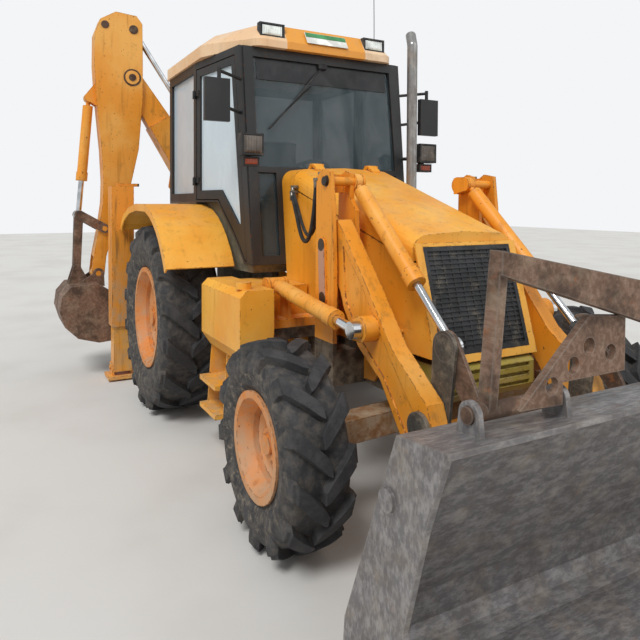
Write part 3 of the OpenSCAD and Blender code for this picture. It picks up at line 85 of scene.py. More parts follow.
def make_lights():
    for name, direction, strength, angle in SUNS:
        data = bpy.data.lights.new(name, "SUN")
        data.energy = strength
        data.angle = math.radians(angle)
        lamp = bpy.data.objects.new(name, data)
        lamp.rotation_euler = Vector(direction).to_track_quat("-Z", "Y").to_euler()
        bpy.context.collection.objects.link(lamp)
    world = bpy.data.worlds.new("world")
    bpy.context.scene.world = world
    world.use_nodes = True
    tree = world.node_tree
    tree.nodes.clear()
    path = tree.nodes.new("ShaderNodeLightPath")
    seen = tree.nodes.new("ShaderNodeMath")
    seen.operation = "MAXIMUM"
    seen.use_clamp = True
    tree.links.new(path.outputs["Is Camera Ray"], seen.inputs[0])
    tree.links.new(path.outputs["Is Transmission Ray"], seen.inputs[1])
    mix = tree.nodes.new("ShaderNodeMixShader")
    tree.links.new(seen.outputs[0], mix.inputs[0])
    for k, (colour, strength) in enumerate((WORLD_LIT, WORLD_SEEN)):
        background = tree.nodes.new("ShaderNodeBackground")
        background.inputs["Color"].default_value = colour
        background.inputs["Strength"].default_value = strength
        tree.links.new(background.outputs[0], mix.inputs[k + 1])
    out = tree.nodes.new("ShaderNodeOutputWorld")
    tree.links.new(mix.outputs[0], out.inputs["Surface"])


def make_floor():
    bpy.ops.mesh.primitive_plane_add(size=FLOOR_SIZE, location=FLOOR_AT)
    floor = bpy.context.object
    floor.name = "floor"
    s = Shade("floor_grey", rgb(212, 210, 206), 0.9)
    s.over(rgb(204, 201, 196), s.ramp(s.noise(1.2, detail=5), 0.4, 0.7))
    floor.data.materials.append(s.done())


# ---- shading

BEVEL_SAMPLES = 4
# how far the rounded normal lies along the true one: where wear at an edge starts, and where it is full
EDGE_STARTS, EDGE_FULL = 0.99, 0.86
# numbers of a Mix node's sockets for each kind of data: both inputs and the output
MIX_SOCKETS = {"RGBA": (6, 7, 2), "FLOAT": (2, 3, 0)}


def rgb(r, g, b):
    """A colour as it shows on screen, 0 to 255, as Blender's linear one."""
    return [((c / 255 + 0.055) / 1.055) ** 2.4 if c > 10 else c / 3294.6 for c in (r, g, b)] + [1]


class Shade:
    """A procedural material on one Principled shader, in the frame's own coordinates."""

    def __init__(self, name, colour, rough=0.5, metal=0.0, **sockets):
        self.material = bpy.data.materials.new(name)
        self.material.use_nodes = True
        self.tree = self.material.node_tree
        self.shader = self.tree.nodes["Principled BSDF"]
        self.place = self.tree.nodes.new("ShaderNodeTexCoord")
        self.shader.inputs["Base Color"].default_value = colour
        self.shader.inputs["Roughness"].default_value = rough
        self.shader.inputs["Metallic"].default_value = metal
        for key, value in sockets.items():
            self.shader.inputs[key].default_value = value
        self.colour, self.rough, self.metal, self.bumps = colour, rough, metal, []

    def feed(self, socket, value):
        """Links a socket to another one, or sets its value."""
        if isinstance(value, bpy.types.NodeSocket):
            self.tree.links.new(value, socket)
        else:
            socket.default_value = value

    def math(self, how, a, b=0.0):
        node = self.tree.nodes.new("ShaderNodeMath")
        node.operation = how
        self.feed(node.inputs[0], a)
        self.feed(node.inputs[1], b)
        return node.outputs[0]

    def product(self, value, *others):
        for other in others:
            value = self.math("MULTIPLY", value, other)
        return value

    def ramp(self, value, low, high, to_low=0.0, to_high=1.0):
        """A smooth step between two values, which may fall as well as rise."""
        node = self.tree.nodes.new("ShaderNodeMapRange")
        node.interpolation_type = "SMOOTHSTEP"
        for socket, x in zip(list(node.inputs)[:5], (value, low, high, to_low, to_high)):
            self.feed(socket, x)
        return node.outputs[0]

    def noise(self, size, stretch=(1, 1, 1), detail=4, offset=0.0, rough=0.55):
        """Noise with features about size metres across, drawn out along an axis where stretch is above 1."""
        move = self.tree.nodes.new("ShaderNodeMapping")
        self.tree.links.new(self.place.outputs["Object"], move.inputs["Vector"])
        move.inputs["Location"].default_value = (offset, 1.7 * offset, 0.6 * offset)
        move.inputs["Scale"].default_value = [1 / s for s in stretch]
        node = self.tree.nodes.new("ShaderNodeTexNoise")
        node.inputs["Scale"].default_value = 1 / size
        node.inputs["Detail"].default_value = detail
        node.inputs["Roughness"].default_value = rough
        self.tree.links.new(move.outputs[0], node.inputs["Vector"])
        return node.outputs["Fac"]

    def component(self, output, axis):
        node = self.tree.nodes.new("ShaderNodeSeparateXYZ")
        self.tree.links.new(self.place.outputs[output], node.inputs[0])
        return node.outputs["XYZ".index(axis)]

    def axis(self, name):
        """The place along one axis, in metres."""
        return self.component("Object", name)

    def facing(self, name):
        """The surface's own direction along one axis, -1 to 1."""
        return self.component("Normal", name)

    def bevelled(self, radius):
        """The surface's direction as if its edges were rounded."""
        node = self.tree.nodes.new("ShaderNodeBevel")
        node.samples = BEVEL_SAMPLES
        node.inputs["Radius"].default_value = radius
        return node.outputs[0]

    def edges(self, radius):
        """1 near a sharp edge, 0 on flat surfaces."""
        geometry = self.tree.nodes.new("ShaderNodeNewGeometry")
        dot = self.tree.nodes.new("ShaderNodeVectorMath")
        dot.operation = "DOT_PRODUCT"
        self.tree.links.new(self.bevelled(radius), dot.inputs[0])
        self.tree.links.new(geometry.outputs["Normal"], dot.inputs[1])
        return self.ramp(dot.outputs["Value"], EDGE_STARTS, EDGE_FULL)

    def blend(self, kind, a, b, mask):
        """a where mask is 0 and b where it is 1."""
        node = self.tree.nodes.new("ShaderNodeMix")
        node.data_type = kind
        first, second, result = MIX_SOCKETS[kind]
        self.feed(node.inputs["Factor"], mask)
        self.feed(node.inputs[first], a)
        self.feed(node.inputs[second], b)
        return node.outputs[result]

    def over(self, colour, mask, rough=None, metal=None):
        """Lays a colour, and its own roughness and metal, over what is there where mask is 1."""
        self.colour = self.blend("RGBA", self.colour, colour, mask)
        if rough is not None:
            self.rough = self.blend("FLOAT", self.rough, rough, mask)
        if metal is not None:
            self.metal = self.blend("FLOAT", self.metal, metal, mask)

    def bump(self, height, depth, strength):
        self.bumps.append((height, depth, strength))

    def done(self, round_edges=0.0):
        self.feed(self.shader.inputs["Base Color"], self.colour)
        self.feed(self.shader.inputs["Roughness"], self.rough)
        self.feed(self.shader.inputs["Metallic"], self.metal)
        normal = self.bevelled(round_edges) if round_edges else None
        for height, depth, strength in self.bumps:
            node = self.tree.nodes.new("ShaderNodeBump")
            node.inputs["Distance"].default_value = depth
            node.inputs["Strength"].default_value = strength
            self.feed(node.inputs["Height"], height)
            if normal is not None:
                self.tree.links.new(normal, node.inputs["Normal"])
            normal = node.outputs[0]
        if normal is not None:
            self.tree.links.new(normal, self.shader.inputs["Normal"])
        return self.material


# ---- materials

DUST = rgb(176, 160, 136)
RUST = rgb(104, 62, 36)
GREASE = rgb(32, 29, 28)
OLD_GRIME = rgb(122, 92, 50)
GRIME_SHADE = 0.62      # how dark streaks are, as a share of the paint
DUST_FADES_OVER = 0.75  # metres below the dust line at which the dust is thickest
HEAD_RIM = 0.006        # soft rim of a painted pin head


def worn_paint(name, colour, faded, rough=0.42, chips=0.5, dust=0.5, grime=0.4, low=1.0, seed=0.0,
               parts=(), heads=()):
    """Old paint: faded in patches, streaked downwards, chipped to rust at edges, dusty on top and low down.

    low is the height of the dust line in metres.
    parts are other colours, each within a box: (colour, lowest corner, highest corner), both sides alike.
    heads are greasy round pin heads: (x, z, radius, the least distance from the middle)."""
    s = Shade(name, colour, rough)
    s.over(faded, s.ramp(s.noise(0.55, detail=5, offset=seed), 0.38, 0.66))
    for other, lowest, highest in parts:
        mask = 1.0
        for key, a, b in zip("XYZ", lowest, highest):
            value = s.axis(key)
            if key == "Y":
                value = s.math("ABSOLUTE", value)
            inside = s.product(s.math("GREATER_THAN", value, a), s.math("LESS_THAN", value, b))
            mask = s.product(mask, inside)
        s.over(other, mask)
    for x, z, radius, least in heads:
        away = [s.math("POWER", s.math("SUBTRACT", s.axis(key), at), 2.0) for key, at in (("X", x), ("Z", z))]
        near = s.ramp(s.math("SQRT", s.math("ADD", *away)), radius, radius - HEAD_RIM)
        outside = s.math("GREATER_THAN", s.math("ABSOLUTE", s.axis("Y")), least)
        s.over(GREASE, s.product(near, outside), 0.35)
    darker = [c * GRIME_SHADE for c in colour[:3]] + [1]
    streaks = s.ramp(s.noise(0.045, (1, 1, 9), 5, seed + 3), 0.52, 0.74, 0.0, grime)
    s.over(darker, streaks, rough + 0.12)
    blotch = s.ramp(s.noise(0.16, detail=6, offset=seed + 7, rough=0.7), 0.56, 0.72, 0.0, grime * 0.8)
    s.over(OLD_GRIME, blotch, rough + 0.2)
    level = s.ramp(s.axis("Z"), low, low - DUST_FADES_OVER)
    broken = s.ramp(s.noise(0.09, detail=7, offset=seed + 11, rough=0.68), 0.36, 0.66)
    s.over(DUST, s.product(level, broken, dust), 0.85)
    top = s.ramp(s.facing("Z"), 0.75, 1.0)
    s.over(DUST, s.product(top, broken, dust * 0.45), 0.8)
    spotted = s.noise(0.022, detail=6, offset=seed + 17, rough=0.62)
    spots = s.ramp(spotted, 0.70 - 0.06 * chips, 0.73 - 0.06 * chips)
    ragged = s.noise(0.03, detail=5, offset=seed + 23)
    worn = s.product(s.edges(0.011), s.ramp(ragged, 0.60 - 0.16 * chips, 0.66 - 0.16 * chips))
    s.over(RUST, s.math("MAXIMUM", s.product(spots, 0.9), worn), 0.8)
    s.bump(s.noise(0.012, detail=3, offset=seed), 0.0006, 0.35)
    s.bump(s.math("MAXIMUM", spots, worn), -0.0008, 0.5)
    return s.done(0.004)


def steel(name, colour, light, rough=0.45, metal=0.6, rust=0.5, dust=0.3, grain=(7, 1, 1), seed=0.0):
    """Bare worked steel: drawn scratches, rust in blotches, dust, bright edges."""
    s = Shade(name, colour, rough, metal)
    s.over(light, s.ramp(s.noise(0.02, grain, 8, seed, 0.75), 0.42, 0.62), rough - 0.08)
    # colour, size, detail, offset, where patches start and where they are full, strength, roughness, metal
    for layer, size, detail, offset, start, end, strength, layer_rough, layer_metal in (
            (rgb(72, 54, 42), 0.22, 7, 5, 0.44, 0.60, rust, 0.75, 0.1),
            (rgb(132, 80, 44), 0.06, 6, 9, 0.58, 0.70, rust, 0.85, 0.0),
            (DUST, 0.11, 6, 13, 0.48, 0.70, dust, 0.9, 0.0)):
        patches = s.noise(size, detail=detail, offset=seed + offset, rough=0.7)
        s.over(layer, s.ramp(patches, start, end, 0.0, strength), layer_rough, layer_metal)
    s.over(rgb(150, 142, 134), s.product(s.edges(0.009), 0.5), 0.4, 0.6)
    s.bump(s.noise(0.006, grain, 5, seed, 0.7), 0.0008, 0.5)
    s.bump(s.noise(0.05, detail=4, offset=seed + 2), 0.003, 0.4)
    return s.done(0.003)


def plain(name, colour, rough=0.6, metal=0.0, dust=0.25, grain=0.004, depth=0.0004):
    """Plastic, rubber, cloth or glossy metal with a fine grain and a little dust."""
    s = Shade(name, colour, rough, metal)
    lighter = [min(1, c * 1.5 + 0.012) for c in colour[:3]] + [1]
    s.over(lighter, s.ramp(s.noise(0.12, detail=5), 0.4, 0.65))
    s.over(DUST, s.ramp(s.noise(0.08, detail=6, offset=4, rough=0.7), 0.5, 0.74, 0.0, dust), 0.85, 0.0)
    s.bump(s.noise(grain, detail=3), depth, 0.5)
    return s.done(0.002)


def glass(name, tint_and_painted_light, dirt, alpha, rear=None, rear_alpha=0.7, rear_x=0.5):
    """See-through glass with a tint and a dusty film. Behind rear_x it may have another tint. A pale tint is
    painted light that makes glass in shade look bright.
    """
    s = Shade(name, tint_and_painted_light, 0.05, IOR=1.5)
    if rear:
        behind = s.math("LESS_THAN", s.axis("X"), rear_x)
        s.over(rear, behind)
        alpha = s.blend("FLOAT", alpha, rear_alpha, behind)
    film = s.product(s.ramp(s.noise(0.2, (1, 1, 2), 6, 2.0, 0.7), 0.35, 0.75), dirt)
    s.over(rgb(196, 200, 200), film, 0.5)
    s.feed(s.shader.inputs["Alpha"], s.math("ADD", alpha, film))
    s.bump(s.noise(0.4, detail=1), 0.002, 0.15)
    return s.done()


def worn_rubber(name, centre_x, radius):
    """Tyre rubber of a wheel that stands on the ground: dark on the lugs' tops, dusty between them and
    down the sidewalls."""
    casing = radius - LUG_HEIGHT
    s = Shade(name, rgb(44, 44, 46), 0.78)
    x, z = s.math("SUBTRACT", s.axis("X"), centre_x), s.math("SUBTRACT", s.axis("Z"), radius)
    out = s.math("SQRT", s.math("ADD", s.product(x, x), s.product(z, z)))
    s.over(rgb(62, 61, 62), s.ramp(s.noise(0.07, detail=7, rough=0.7), 0.42, 0.64))
    between = s.ramp(out, radius - 0.010, casing - 0.01, 0.0, 0.45)
    patches = s.ramp(s.noise(0.05, detail=7, offset=3, rough=0.7), 0.40, 0.66)
    s.over(rgb(112, 103, 92), s.product(between, patches), 0.9)
    sidewall = s.ramp(out, casing - 0.02, casing - 0.12, 0.0, 0.6)
    patches = s.ramp(s.noise(0.035, detail=8, offset=6, rough=0.75), 0.50, 0.72)
    s.over(DUST, s.product(sidewall, patches), 0.92)
    s.bump(s.noise(0.012, detail=6, rough=0.7), 0.0012, 0.6)
    s.bump(s.ramp(s.noise(0.03, detail=3, offset=9), 0.58, 0.66), -0.0015, 0.5)
    return s.done(0.002)


ARM_YELLOW = rgb(234, 150, 38)
TOWER_SIDE = 0.6035  # just inside the towers' outer faces, from the middle

paint = worn_paint("yellow_paint", rgb(238, 158, 38), rgb(244, 180, 72), low=1.05)
arm_paint = worn_paint("arm_paint", ARM_YELLOW, rgb(240, 176, 84), chips=0.85, dust=0.4, grime=0.6, low=0.9,
                       seed=5)
# the roof's front between the lamps is yellower than the rest
roof_paint = worn_paint("roof_paint", rgb(232, 190, 146), rgb(238, 210, 176), chips=0.2, dust=0.4, grime=0.3,
                        seed=9, parts=[(rgb(232, 158, 62), (0.62, -1, 2.60), (0.90, 0.325, 2.90))])
# the towers are yellow, with a rubbed stretch and greasy pin heads on their outer faces
frame_paint = worn_paint("frame_paint", rgb(34, 33, 32), rgb(52, 48, 44), 0.5, 0.5, 0.6, 0.4, 1.2, 15,
                         parts=[(ARM_YELLOW, (1.20, -1, 0.845), (2.10, 1, 1.80)),
                                (rgb(186, 140, 116), (1.70, TOWER_SIDE, 0.90), (2.00, 1, 1.80))],
                         heads=[(1.840, 1.365, 0.040, TOWER_SIDE), (1.855, 1.075, 0.038, TOWER_SIDE),
                                (1.870, 1.705, 0.034, 0.570)])
# the stabilisers' tubes at the rear frame's ends are yellow
rear_paint = worn_paint("rear_paint", rgb(44, 40, 37), rgb(64, 56, 48), 0.5, 0.6, 0.7, 0.6, 1.3, 19,
                        parts=[(rgb(232, 150, 48), (-2, 1.0, 0.40), (0, 2, 1.80))])
black_paint = worn_paint("black_paint", rgb(30, 31, 32), rgb(46, 46, 46), 0.45, 0.25, 0.45, 0.2, 1.3, 13)
axle_paint = worn_paint("axle_paint", rgb(150, 108, 58), rgb(128, 86, 50), 0.7, 0.9, 0.7, 0.6, 1.2, 17)
guard_paint = worn_paint("guard_paint", rgb(138, 124, 40), rgb(166, 146, 56), 0.6, 0.5, 0.6, 0.5, 1.1, 21)
floor_paint = worn_paint("floor_paint", rgb(84, 80, 66), rgb(104, 98, 78), 0.7, 0.4, 0.7, 0.4, 1.6, 25)
rim_paint = worn_paint("rim_paint", rgb(214, 130, 52), rgb(206, 144, 92), 0.6, 0.7, 0.55, 0.7, 1.3, 29)
wheel_rubber = plain("tyre_rubber", rgb(44, 43, 43), 0.82, dust=0.5, grain=0.006, depth=0.0008)
trim_rubber = plain("trim_rubber", rgb(24, 24, 25), 0.65)
plastic = plain("moulded_plastic", rgb(30, 31, 33), 0.55)
shovel_steel = steel("shovel_steel", rgb(116, 113, 114), rgb(152, 149, 148), 0.45, 0.4, 0.28, 0.3, (1, 4, 2))
rusty_steel = steel("rusty_steel", rgb(116, 88, 70), rgb(144, 116, 98), 0.6, 0.3, 0.9, 0.3, (5, 1, 1), 4)
grey_iron = steel("grey_iron", rgb(74, 72, 68), rgb(92, 90, 84), 0.6, 0.3, 0.5, 0.5, (1, 1, 1), 8)
chrome = plain("chrome_rod", rgb(206, 208, 210), 0.14, 1.0, dust=0.12, grain=0.03, depth=0.0002)
stack_metal = steel("stack_metal", rgb(150, 148, 146), rgb(180, 178, 174), 0.35, 0.85, 0.35, 0.2, (1, 1, 6),
                    12)
# the side windows' pale, nearly opaque tint is painted light: it makes this glass, which sits in shade, look
# bright
side_glass_painted_light = glass("side_glass_painted_light", rgb(222, 236, 244), 0.16, 0.74)
# the windscreen has a dark tint; the cab's glass behind x = 0.5 has a pale, nearly opaque tint that is
# painted light, which makes it look bright in shade
front_glass = glass("front_glass", rgb(62, 78, 84), 0.10, 0.50, rgb(214, 230, 240), 0.66)
fabric = plain("seat_fabric", rgb(40, 42, 46), 0.9, dust=0.15, grain=0.003, depth=0.0012)
lamp_glass = plain("lamp_glass", rgb(206, 210, 206), 0.12, 0.35, dust=0.35, grain=0.02, depth=0.0003)
pin_steel = plain("pin_steel", rgb(70, 48, 36), 0.6, 0.2, dust=0.4)
dark_lens = plain("dark_lens", rgb(92, 84, 78), 0.16, 0.6, dust=0.3, grain=0.016, depth=0.004)
amber_glass = plain("amber_glass", rgb(158, 70, 40), 0.2, dust=0.3)
white_plate = plain("white_plate", rgb(214, 214, 208), 0.45, dust=0.3)
green_plate = plain("green_plate", rgb(58, 128, 78), 0.45, dust=0.3)
steel_fitting = plain("steel_fitting", rgb(120, 116, 108), 0.4, 0.8, dust=0.4)
black_film = plain("black_film", rgb(16, 17, 20), 0.35, dust=0.0)

LOOKS = {
    paint: "hood_lid hood_sides side_boxes fenders",
    arm_paint: "loader_arms lift_barrels tilt_barrels boom dipper boom_barrel dipper_barrel bucket_barrel "
               "king_post stabiliser_right stabiliser_left",
    roof_paint: "cab_roof",
    frame_paint: "frame",
    black_paint: "cab_frame door_right door_left carriage",
    rear_paint: "rear_frame",
    axle_paint: "front_axle rear_axle knuckle_right knuckle_left",
    guard_paint: "nose_guard",
    floor_paint: "cab_floor",
    rim_paint: "rim_front_right rim_front_left rim_rear_right rim_rear_left",
    wheel_rubber: "tyre_front_right tyre_front_left tyre_rear_right tyre_rear_left",
    plastic: "cab_controls work_lamps grille",
    fabric: "seat_cushion",
    shovel_steel: "shovel",
    rusty_steel: "fork_frame bucket bucket_lever bucket_link tip_links nose_pins",
    grey_iron: "engine tip_levers tip_knuckles lever_pins",
    chrome: "lift_rods tilt_rods boom_rod dipper_rod bucket_rod",
    stack_metal: "exhaust",
    side_glass_painted_light: "door_glass_right door_glass_left",
    front_glass: "cab_glass",
}


def dress():
    """Gives each CAD piece its material."""
    for look, names in LOOKS.items():
        for name in names.split():
            mesh = nodes[name].data
            mesh.materials.clear()
            mesh.materials.append(look)


# ---- meshes

def add_mesh(name, verts, faces, look, body):
    mesh = bpy.data.meshes.new(name)
    mesh.from_pydata(verts, [], faces)
    mesh.validate()
    work = bmesh.new()
    work.from_mesh(mesh)
    bmesh.ops.recalc_face_normals(work, faces=work.faces)
    for face in work.faces:
        face.smooth = True
    work.to_mesh(mesh)
    work.free()
    mesh.materials.append(look)
    obj = bpy.data.objects.new(name, mesh)
    bpy.context.collection.objects.link(obj)
    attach(obj, body)
    return obj


def rounded(obj, width, angle=35):
    """Rounds the edges that turn by more than angle degrees."""
    bevel = obj.modifiers.new("round", "BEVEL")
    bevel.width, bevel.segments, bevel.limit_method = width, 2, "ANGLE"
    bevel.angle_limit = math.radians(angle)
    bevel.harden_normals = True
    return obj


def flatten(obj):
    """Applies all of an object's modifiers."""
    bpy.context.view_layer.update()
    done = obj.evaluated_get(bpy.context.evaluated_depsgraph_get())
    mesh = bpy.data.meshes.new_from_object(done)
    obj.modifiers.clear()
    obj.data = mesh


def curve_through(points, steps):
    """Points on a smooth curve through the given ones."""
    ends = [points[0]] + list(points) + [points[-1]]
    line = []
    for k in range(1, len(ends) - 2):
        a, b, c, d = (Vector(q) for q in ends[k - 1:k + 3])
        for i in range(steps):
            t = i / steps
            line.append(0.5 * (2 * b + (c - a) * t + (2 * a - 5 * b + 4 * c - d) * t * t
                               + (3 * b - a - 3 * c + d) * t ** 3))
    return line + [Vector(points[-1])]


def slab(name, centre, size, look, body, turn=(0, 0, 0), edge=0.002):
    """A rounded plate or block, turned about its centre by angles in degrees."""
    x, y, z = (v / 2 for v in size)
    mesh = bpy.data.meshes.new(name)
    corners = [(i * x, j * y, k * z) for i in (-1, 1) for j in (-1, 1) for k in (-1, 1)]
    sides = [(0, 1, 3, 2), (4, 6, 7, 5), (0, 4, 5, 1), (2, 3, 7, 6), (0, 2, 6, 4), (1, 5, 7, 3)]
    mesh.from_pydata(corners, [], sides)
    for face in mesh.polygons:
        face.use_smooth = True
    mesh.materials.append(look)
    obj = bpy.data.objects.new(name, mesh)
    obj.rotation_euler = [math.radians(v) for v in turn]
    obj.location = centre
    bpy.context.collection.objects.link(obj)
    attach(obj, body)
    return rounded(obj, edge)


def tube(name, points, radius, look, body, sides=16, smooth_steps=6):
    """A round bar or pipe with closed ends, on a smooth line, or a straight one where smooth_steps is 0."""
    line = curve_through(points, smooth_steps) if smooth_steps else [Vector(q) for q in points]
    verts, faces = [], []
    upright = abs((line[1] - line[0]).normalized().z) >= 0.9
    across = Vector((1, 0, 0)) if upright else Vector((0, 0, 1))
    for i, point in enumerate(line):
        ahead = (line[min(i + 1, len(line) - 1)] - line[max(i - 1, 0)]).normalized()
        across = (across - ahead * across.dot(ahead)).normalized()
        other = ahead.cross(across)
        for k in range(sides):
            turn = math.tau * k / sides
            verts.append(point + radius * (math.cos(turn) * across + math.sin(turn) * other))
    for i in range(len(line) - 1):
        for k in range(sides):
            n = (k + 1) % sides
            faces.append((i * sides + k, i * sides + n, (i + 1) * sides + n, (i + 1) * sides + k))
    faces += [tuple(range(sides - 1, -1, -1)), tuple(range(len(verts) - sides, len(verts)))]
    return add_mesh(name, verts, faces, look, body)


# ---- tyres

LUG_HEIGHT = 0.048
# along a lug: share of the half width, drop of the top, drop of the foot below the casing, the foot's share
# of the half width, share of the lug's width
LUG = [(-0.10, 0.0, 0.012, -0.10, 0.62), (0.04, 0.0, 0.012, 0.04, 0.84), (0.22, 0.001, 0.012, 0.22, 0.88),
       (0.42, 0.003, 0.012, 0.42, 0.90), (0.66, 0.007, 0.014, 0.66, 0.96), (0.86, 0.014, 0.030, 0.78, 1.02),
       (0.88, 0.028, 0.040, 0.80, 0.98), (0.975, 0.034, 0.055, 0.84, 0.90), (0.99, 0.062, 0.080, 0.88, 0.82),
       (0.985, 0.092, 0.100, 0.93, 0.66)]
LUG_SLANT_ENDS = 0.88  # share of the half width where a lug stops slanting and runs down the shoulder
LUG_DRAFT = 0.014      # how much wider a lug's foot is on either side, in radians round the wheel
LUG_ROUNDING = 0.007
# what differs at random: wear of a whole lug and of one row of it, a lug's place as a share of the step
# between two, and the width
LUG_WEAR, ROW_WEAR = 0.003, 0.002
LUG_JITTER = 0.04
LUG_WIDTHS = (0.96, 1.03)
TYRE_PLAY = 0.001      # how far the tyre stays inside the CAD tyre's box
TYRE_STEPS = 144       # steps round the casing
BORE_DROP = 0.012      # how far the tyre's bore lies inside the rim's radius
SIDE_STEPS = 5         # steps between the sidewall's points
BEAD_SHARE = 0.78      # half width at the rim, as a share of the tyre's
SIDE_RIDGES = (5, 11)  # steps of the sidewall that stand out as thin ridges
RIDGE = 0.002
# for each axle: its x, the tyre's radius, the rim's, lugs on each side, their slant in degrees, their width
TYRES = {"rear": (0.0, 0.71, 0.38, 16, 17, 0.104), "front": (2.17, 0.48, 0.25, 13, 19, 0.090)}


def make_tyre(node, body, rim_r, lugs, skew, lug_w, look):
    low, high = (Vector(corner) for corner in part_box(node))
    centre = (low + high) / 2
    r, h = (high.z - low.z) / 2 - TYRE_PLAY, (high.y - low.y) / 2 - TYRE_PLAY
    casing = r - LUG_HEIGHT
    bead = h * BEAD_SHARE
    # from the bead over the sidewall to the middle of the tread, as radius and half width
    side = curve_through([(rim_r + 0.010, bead), (rim_r + 0.030, bead + 0.014),
                          ((casing + rim_r) / 2, h * 0.985), (casing - 0.060, h * 0.955),
                          (casing - 0.018, h * 0.84), (casing, h * 0.62), (casing + 0.003, 0)], SIDE_STEPS)
    for k in SIDE_RIDGES:
        side[k].y += RIDGE
    bore = rim_r - BORE_DROP
    profile = ([(p.x, p.y) for p in side] + [(p.x, -p.y) for p in reversed(side[:-1])]
               + [(bore, -bead), (bore, bead)])
    verts, faces = [], []

    def place(radius, turn, y):
        verts.append((centre.x + radius * math.sin(turn), centre.y + y, centre.z + radius * math.cos(turn)))

    count = len(profile)
    for i in range(TYRE_STEPS):
        for radius, y in profile:
            place(radius, math.tau * i / TYRE_STEPS, y)
    for i in range(TYRE_STEPS):
        a, b = i * count, (i + 1) % TYRE_STEPS * count
        for j in range(count):
            k = (j + 1) % count
            faces.append((a + j, a + k, b + k, b + j))
    carcass = add_mesh(node + "_casing", verts, faces, look, body)
    verts, faces = [], []
    for i in range(2 * lugs):
        sign = 1 if i % 2 else -1
        wear = random.uniform(0, LUG_WEAR)
        start = math.tau * (i + random.uniform(-LUG_JITTER, LUG_JITTER)) / (2 * lugs)
        first = len(verts)
        for share, drop, sink, foot, width in LUG:
            turn = start - math.radians(skew) * min(abs(share), LUG_SLANT_ENDS) * (1 if share > 0 else -1)
            half = lug_w / 2 * width * random.uniform(*LUG_WIDTHS) / r
            row_wear = random.uniform(0, ROW_WEAR)
            top = min(r - drop - wear - row_wear, math.sqrt(r * r - (half * r) ** 2))
            place(casing - sink, turn - half - LUG_DRAFT, sign * foot * h)
            place(top, turn - half, sign * share * h)
            place(top, turn + half, sign * share * h)
            place(casing - sink, turn + half + LUG_DRAFT, sign * foot * h)
        for k in range(len(LUG) - 1):
            a, b = first + 4 * k, first + 4 * k + 4
            faces += [(a + j, a + (j + 1) % 4, b + (j + 1) % 4, b + j) for j in range(4)]
        last = first + 4 * (len(LUG) - 1)
        faces += [tuple(range(first, first + 4)), tuple(range(last + 3, last - 1, -1))]
    rounded(add_mesh(node + "_lugs", verts, faces, look, body), LUG_ROUNDING, 30)
    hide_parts(node)


def make_tyres():
    looks = {axle: worn_rubber(f"{axle}_rubber", x, radius) for axle, (x, radius, *_) in TYRES.items()}
    for side in ("right", "left"):
        for axle, (_, _, rim_r, lugs, skew, lug_w) in TYRES.items():
            make_tyre(f"tyre_{axle}_{side}", f"{axle}_{side}_wheel", rim_r, lugs, skew, lug_w, looks[axle])


# ---- lamps, plate, wiper and aerial

LENS_ROWS = 12
LENS_DOME = 0.006
LENS_RIB = 0.0008
# lamp, place of the left one, width, height, look, ribs
LENSES = [("roof_lamp_lens", (0.7815, 0.425, 2.796), 0.150, 0.066, lamp_glass, 9),
          ("head_lamp_lens", (1.1065, 0.700, 1.960), 0.126, 0.112, dark_lens, 7),
          ("indicator_lens", (1.0765, 0.700, 1.852), 0.090, 0.040, amber_glass, 5)]
PLATE_TURN = (0, -32, 0)
# the windscreen's outer face: a point on it as x and z, how far it goes back per metre up, and its turn
SCREEN_X, SCREEN_Z, SCREEN_SLOPE = 0.857, 1.831, 0.1332
SCREEN_TURN = (0, -7.6, 0)
AERIAL = [(0.52, 0.60, 2.83), (0.52, 0.60, 3.02), (0.515, 0.60, 3.26)]


def lens(name, centre, width, height, look, body, ribs):
    """A lamp's front: a domed pane with upright ribs, facing forward."""
    verts, faces, columns = [], [], 8 * ribs
    for i in range(LENS_ROWS + 1):
        for j in range(columns + 1):
            v, u = 2 * i / LENS_ROWS - 1, 2 * j / columns - 1
            dome = LENS_DOME * (1 - abs(u) ** 6) * (1 - abs(v) ** 6)
            wave = LENS_RIB * math.cos(math.pi * ribs * (u + 1))
            verts.append((centre[0] + dome + wave, centre[1] + u * width / 2, centre[2] + v * height / 2))
    for i in range(LENS_ROWS):
        for j in range(columns):
            k = i * (columns + 1) + j
            faces.append((k, k + 1, k + columns + 2, k + columns + 1))
    return add_mesh(name, verts, faces, look, body)


def on_windscreen(y, z, out=0.0):
    """A point on the windscreen's outer face, or that far in front of it."""
    return Vector((SCREEN_X - (z - SCREEN_Z) * SCREEN_SLOPE + out, y, z))


def make_cab_details():
    for sign, side in ((-1, "right"), (1, "left")):
        for name, (x, y, z), width, height, look, ribs in LENSES:
            lens(f"{name}_{side}", (x, sign * y, z), width, height, look, "base", ribs)
    slab("plate", (0.800, 0, 2.775), (0.004, 0.34, 0.105), white_plate, "base", PLATE_TURN, 0.0015)
    slab("plate_band", (0.7886, 0, 2.800), (0.003, 0.332, 0.040), green_plate, "base", PLATE_TURN, 0.0008)
    tube("wiper_arm", [on_windscreen(-0.02, 2.575, 0.012), on_windscreen(-0.10, 2.50, 0.030),
                       on_windscreen(-0.30, 2.27, 0.022)], 0.006, trim_rubber, "base", 10)
    tube("wiper_blade", [on_windscreen(-0.12, 2.43, 0.014), on_windscreen(-0.30, 2.27, 0.014),
                         on_windscreen(-0.47, 2.10, 0.014)], 0.007, trim_rubber, "base", 8)
    slab("wiper_motor", on_windscreen(-0.02, 2.585, 0.016), (0.030, 0.070, 0.040), trim_rubber, "base",
         SCREEN_TURN, 0.006)
    slab("sun_band", on_windscreen(0, 2.520, 0.0035), (0.003, 1.08, 0.150), black_film, "base",
         SCREEN_TURN, 0.0008)
    tube("antenna", AERIAL, 0.003, trim_rubber, "base", 8)
    slab("antenna_foot", (0.52, 0.60, 2.832), (0.040, 0.040, 0.030), trim_rubber, "base", edge=0.008)


# ---- hoses

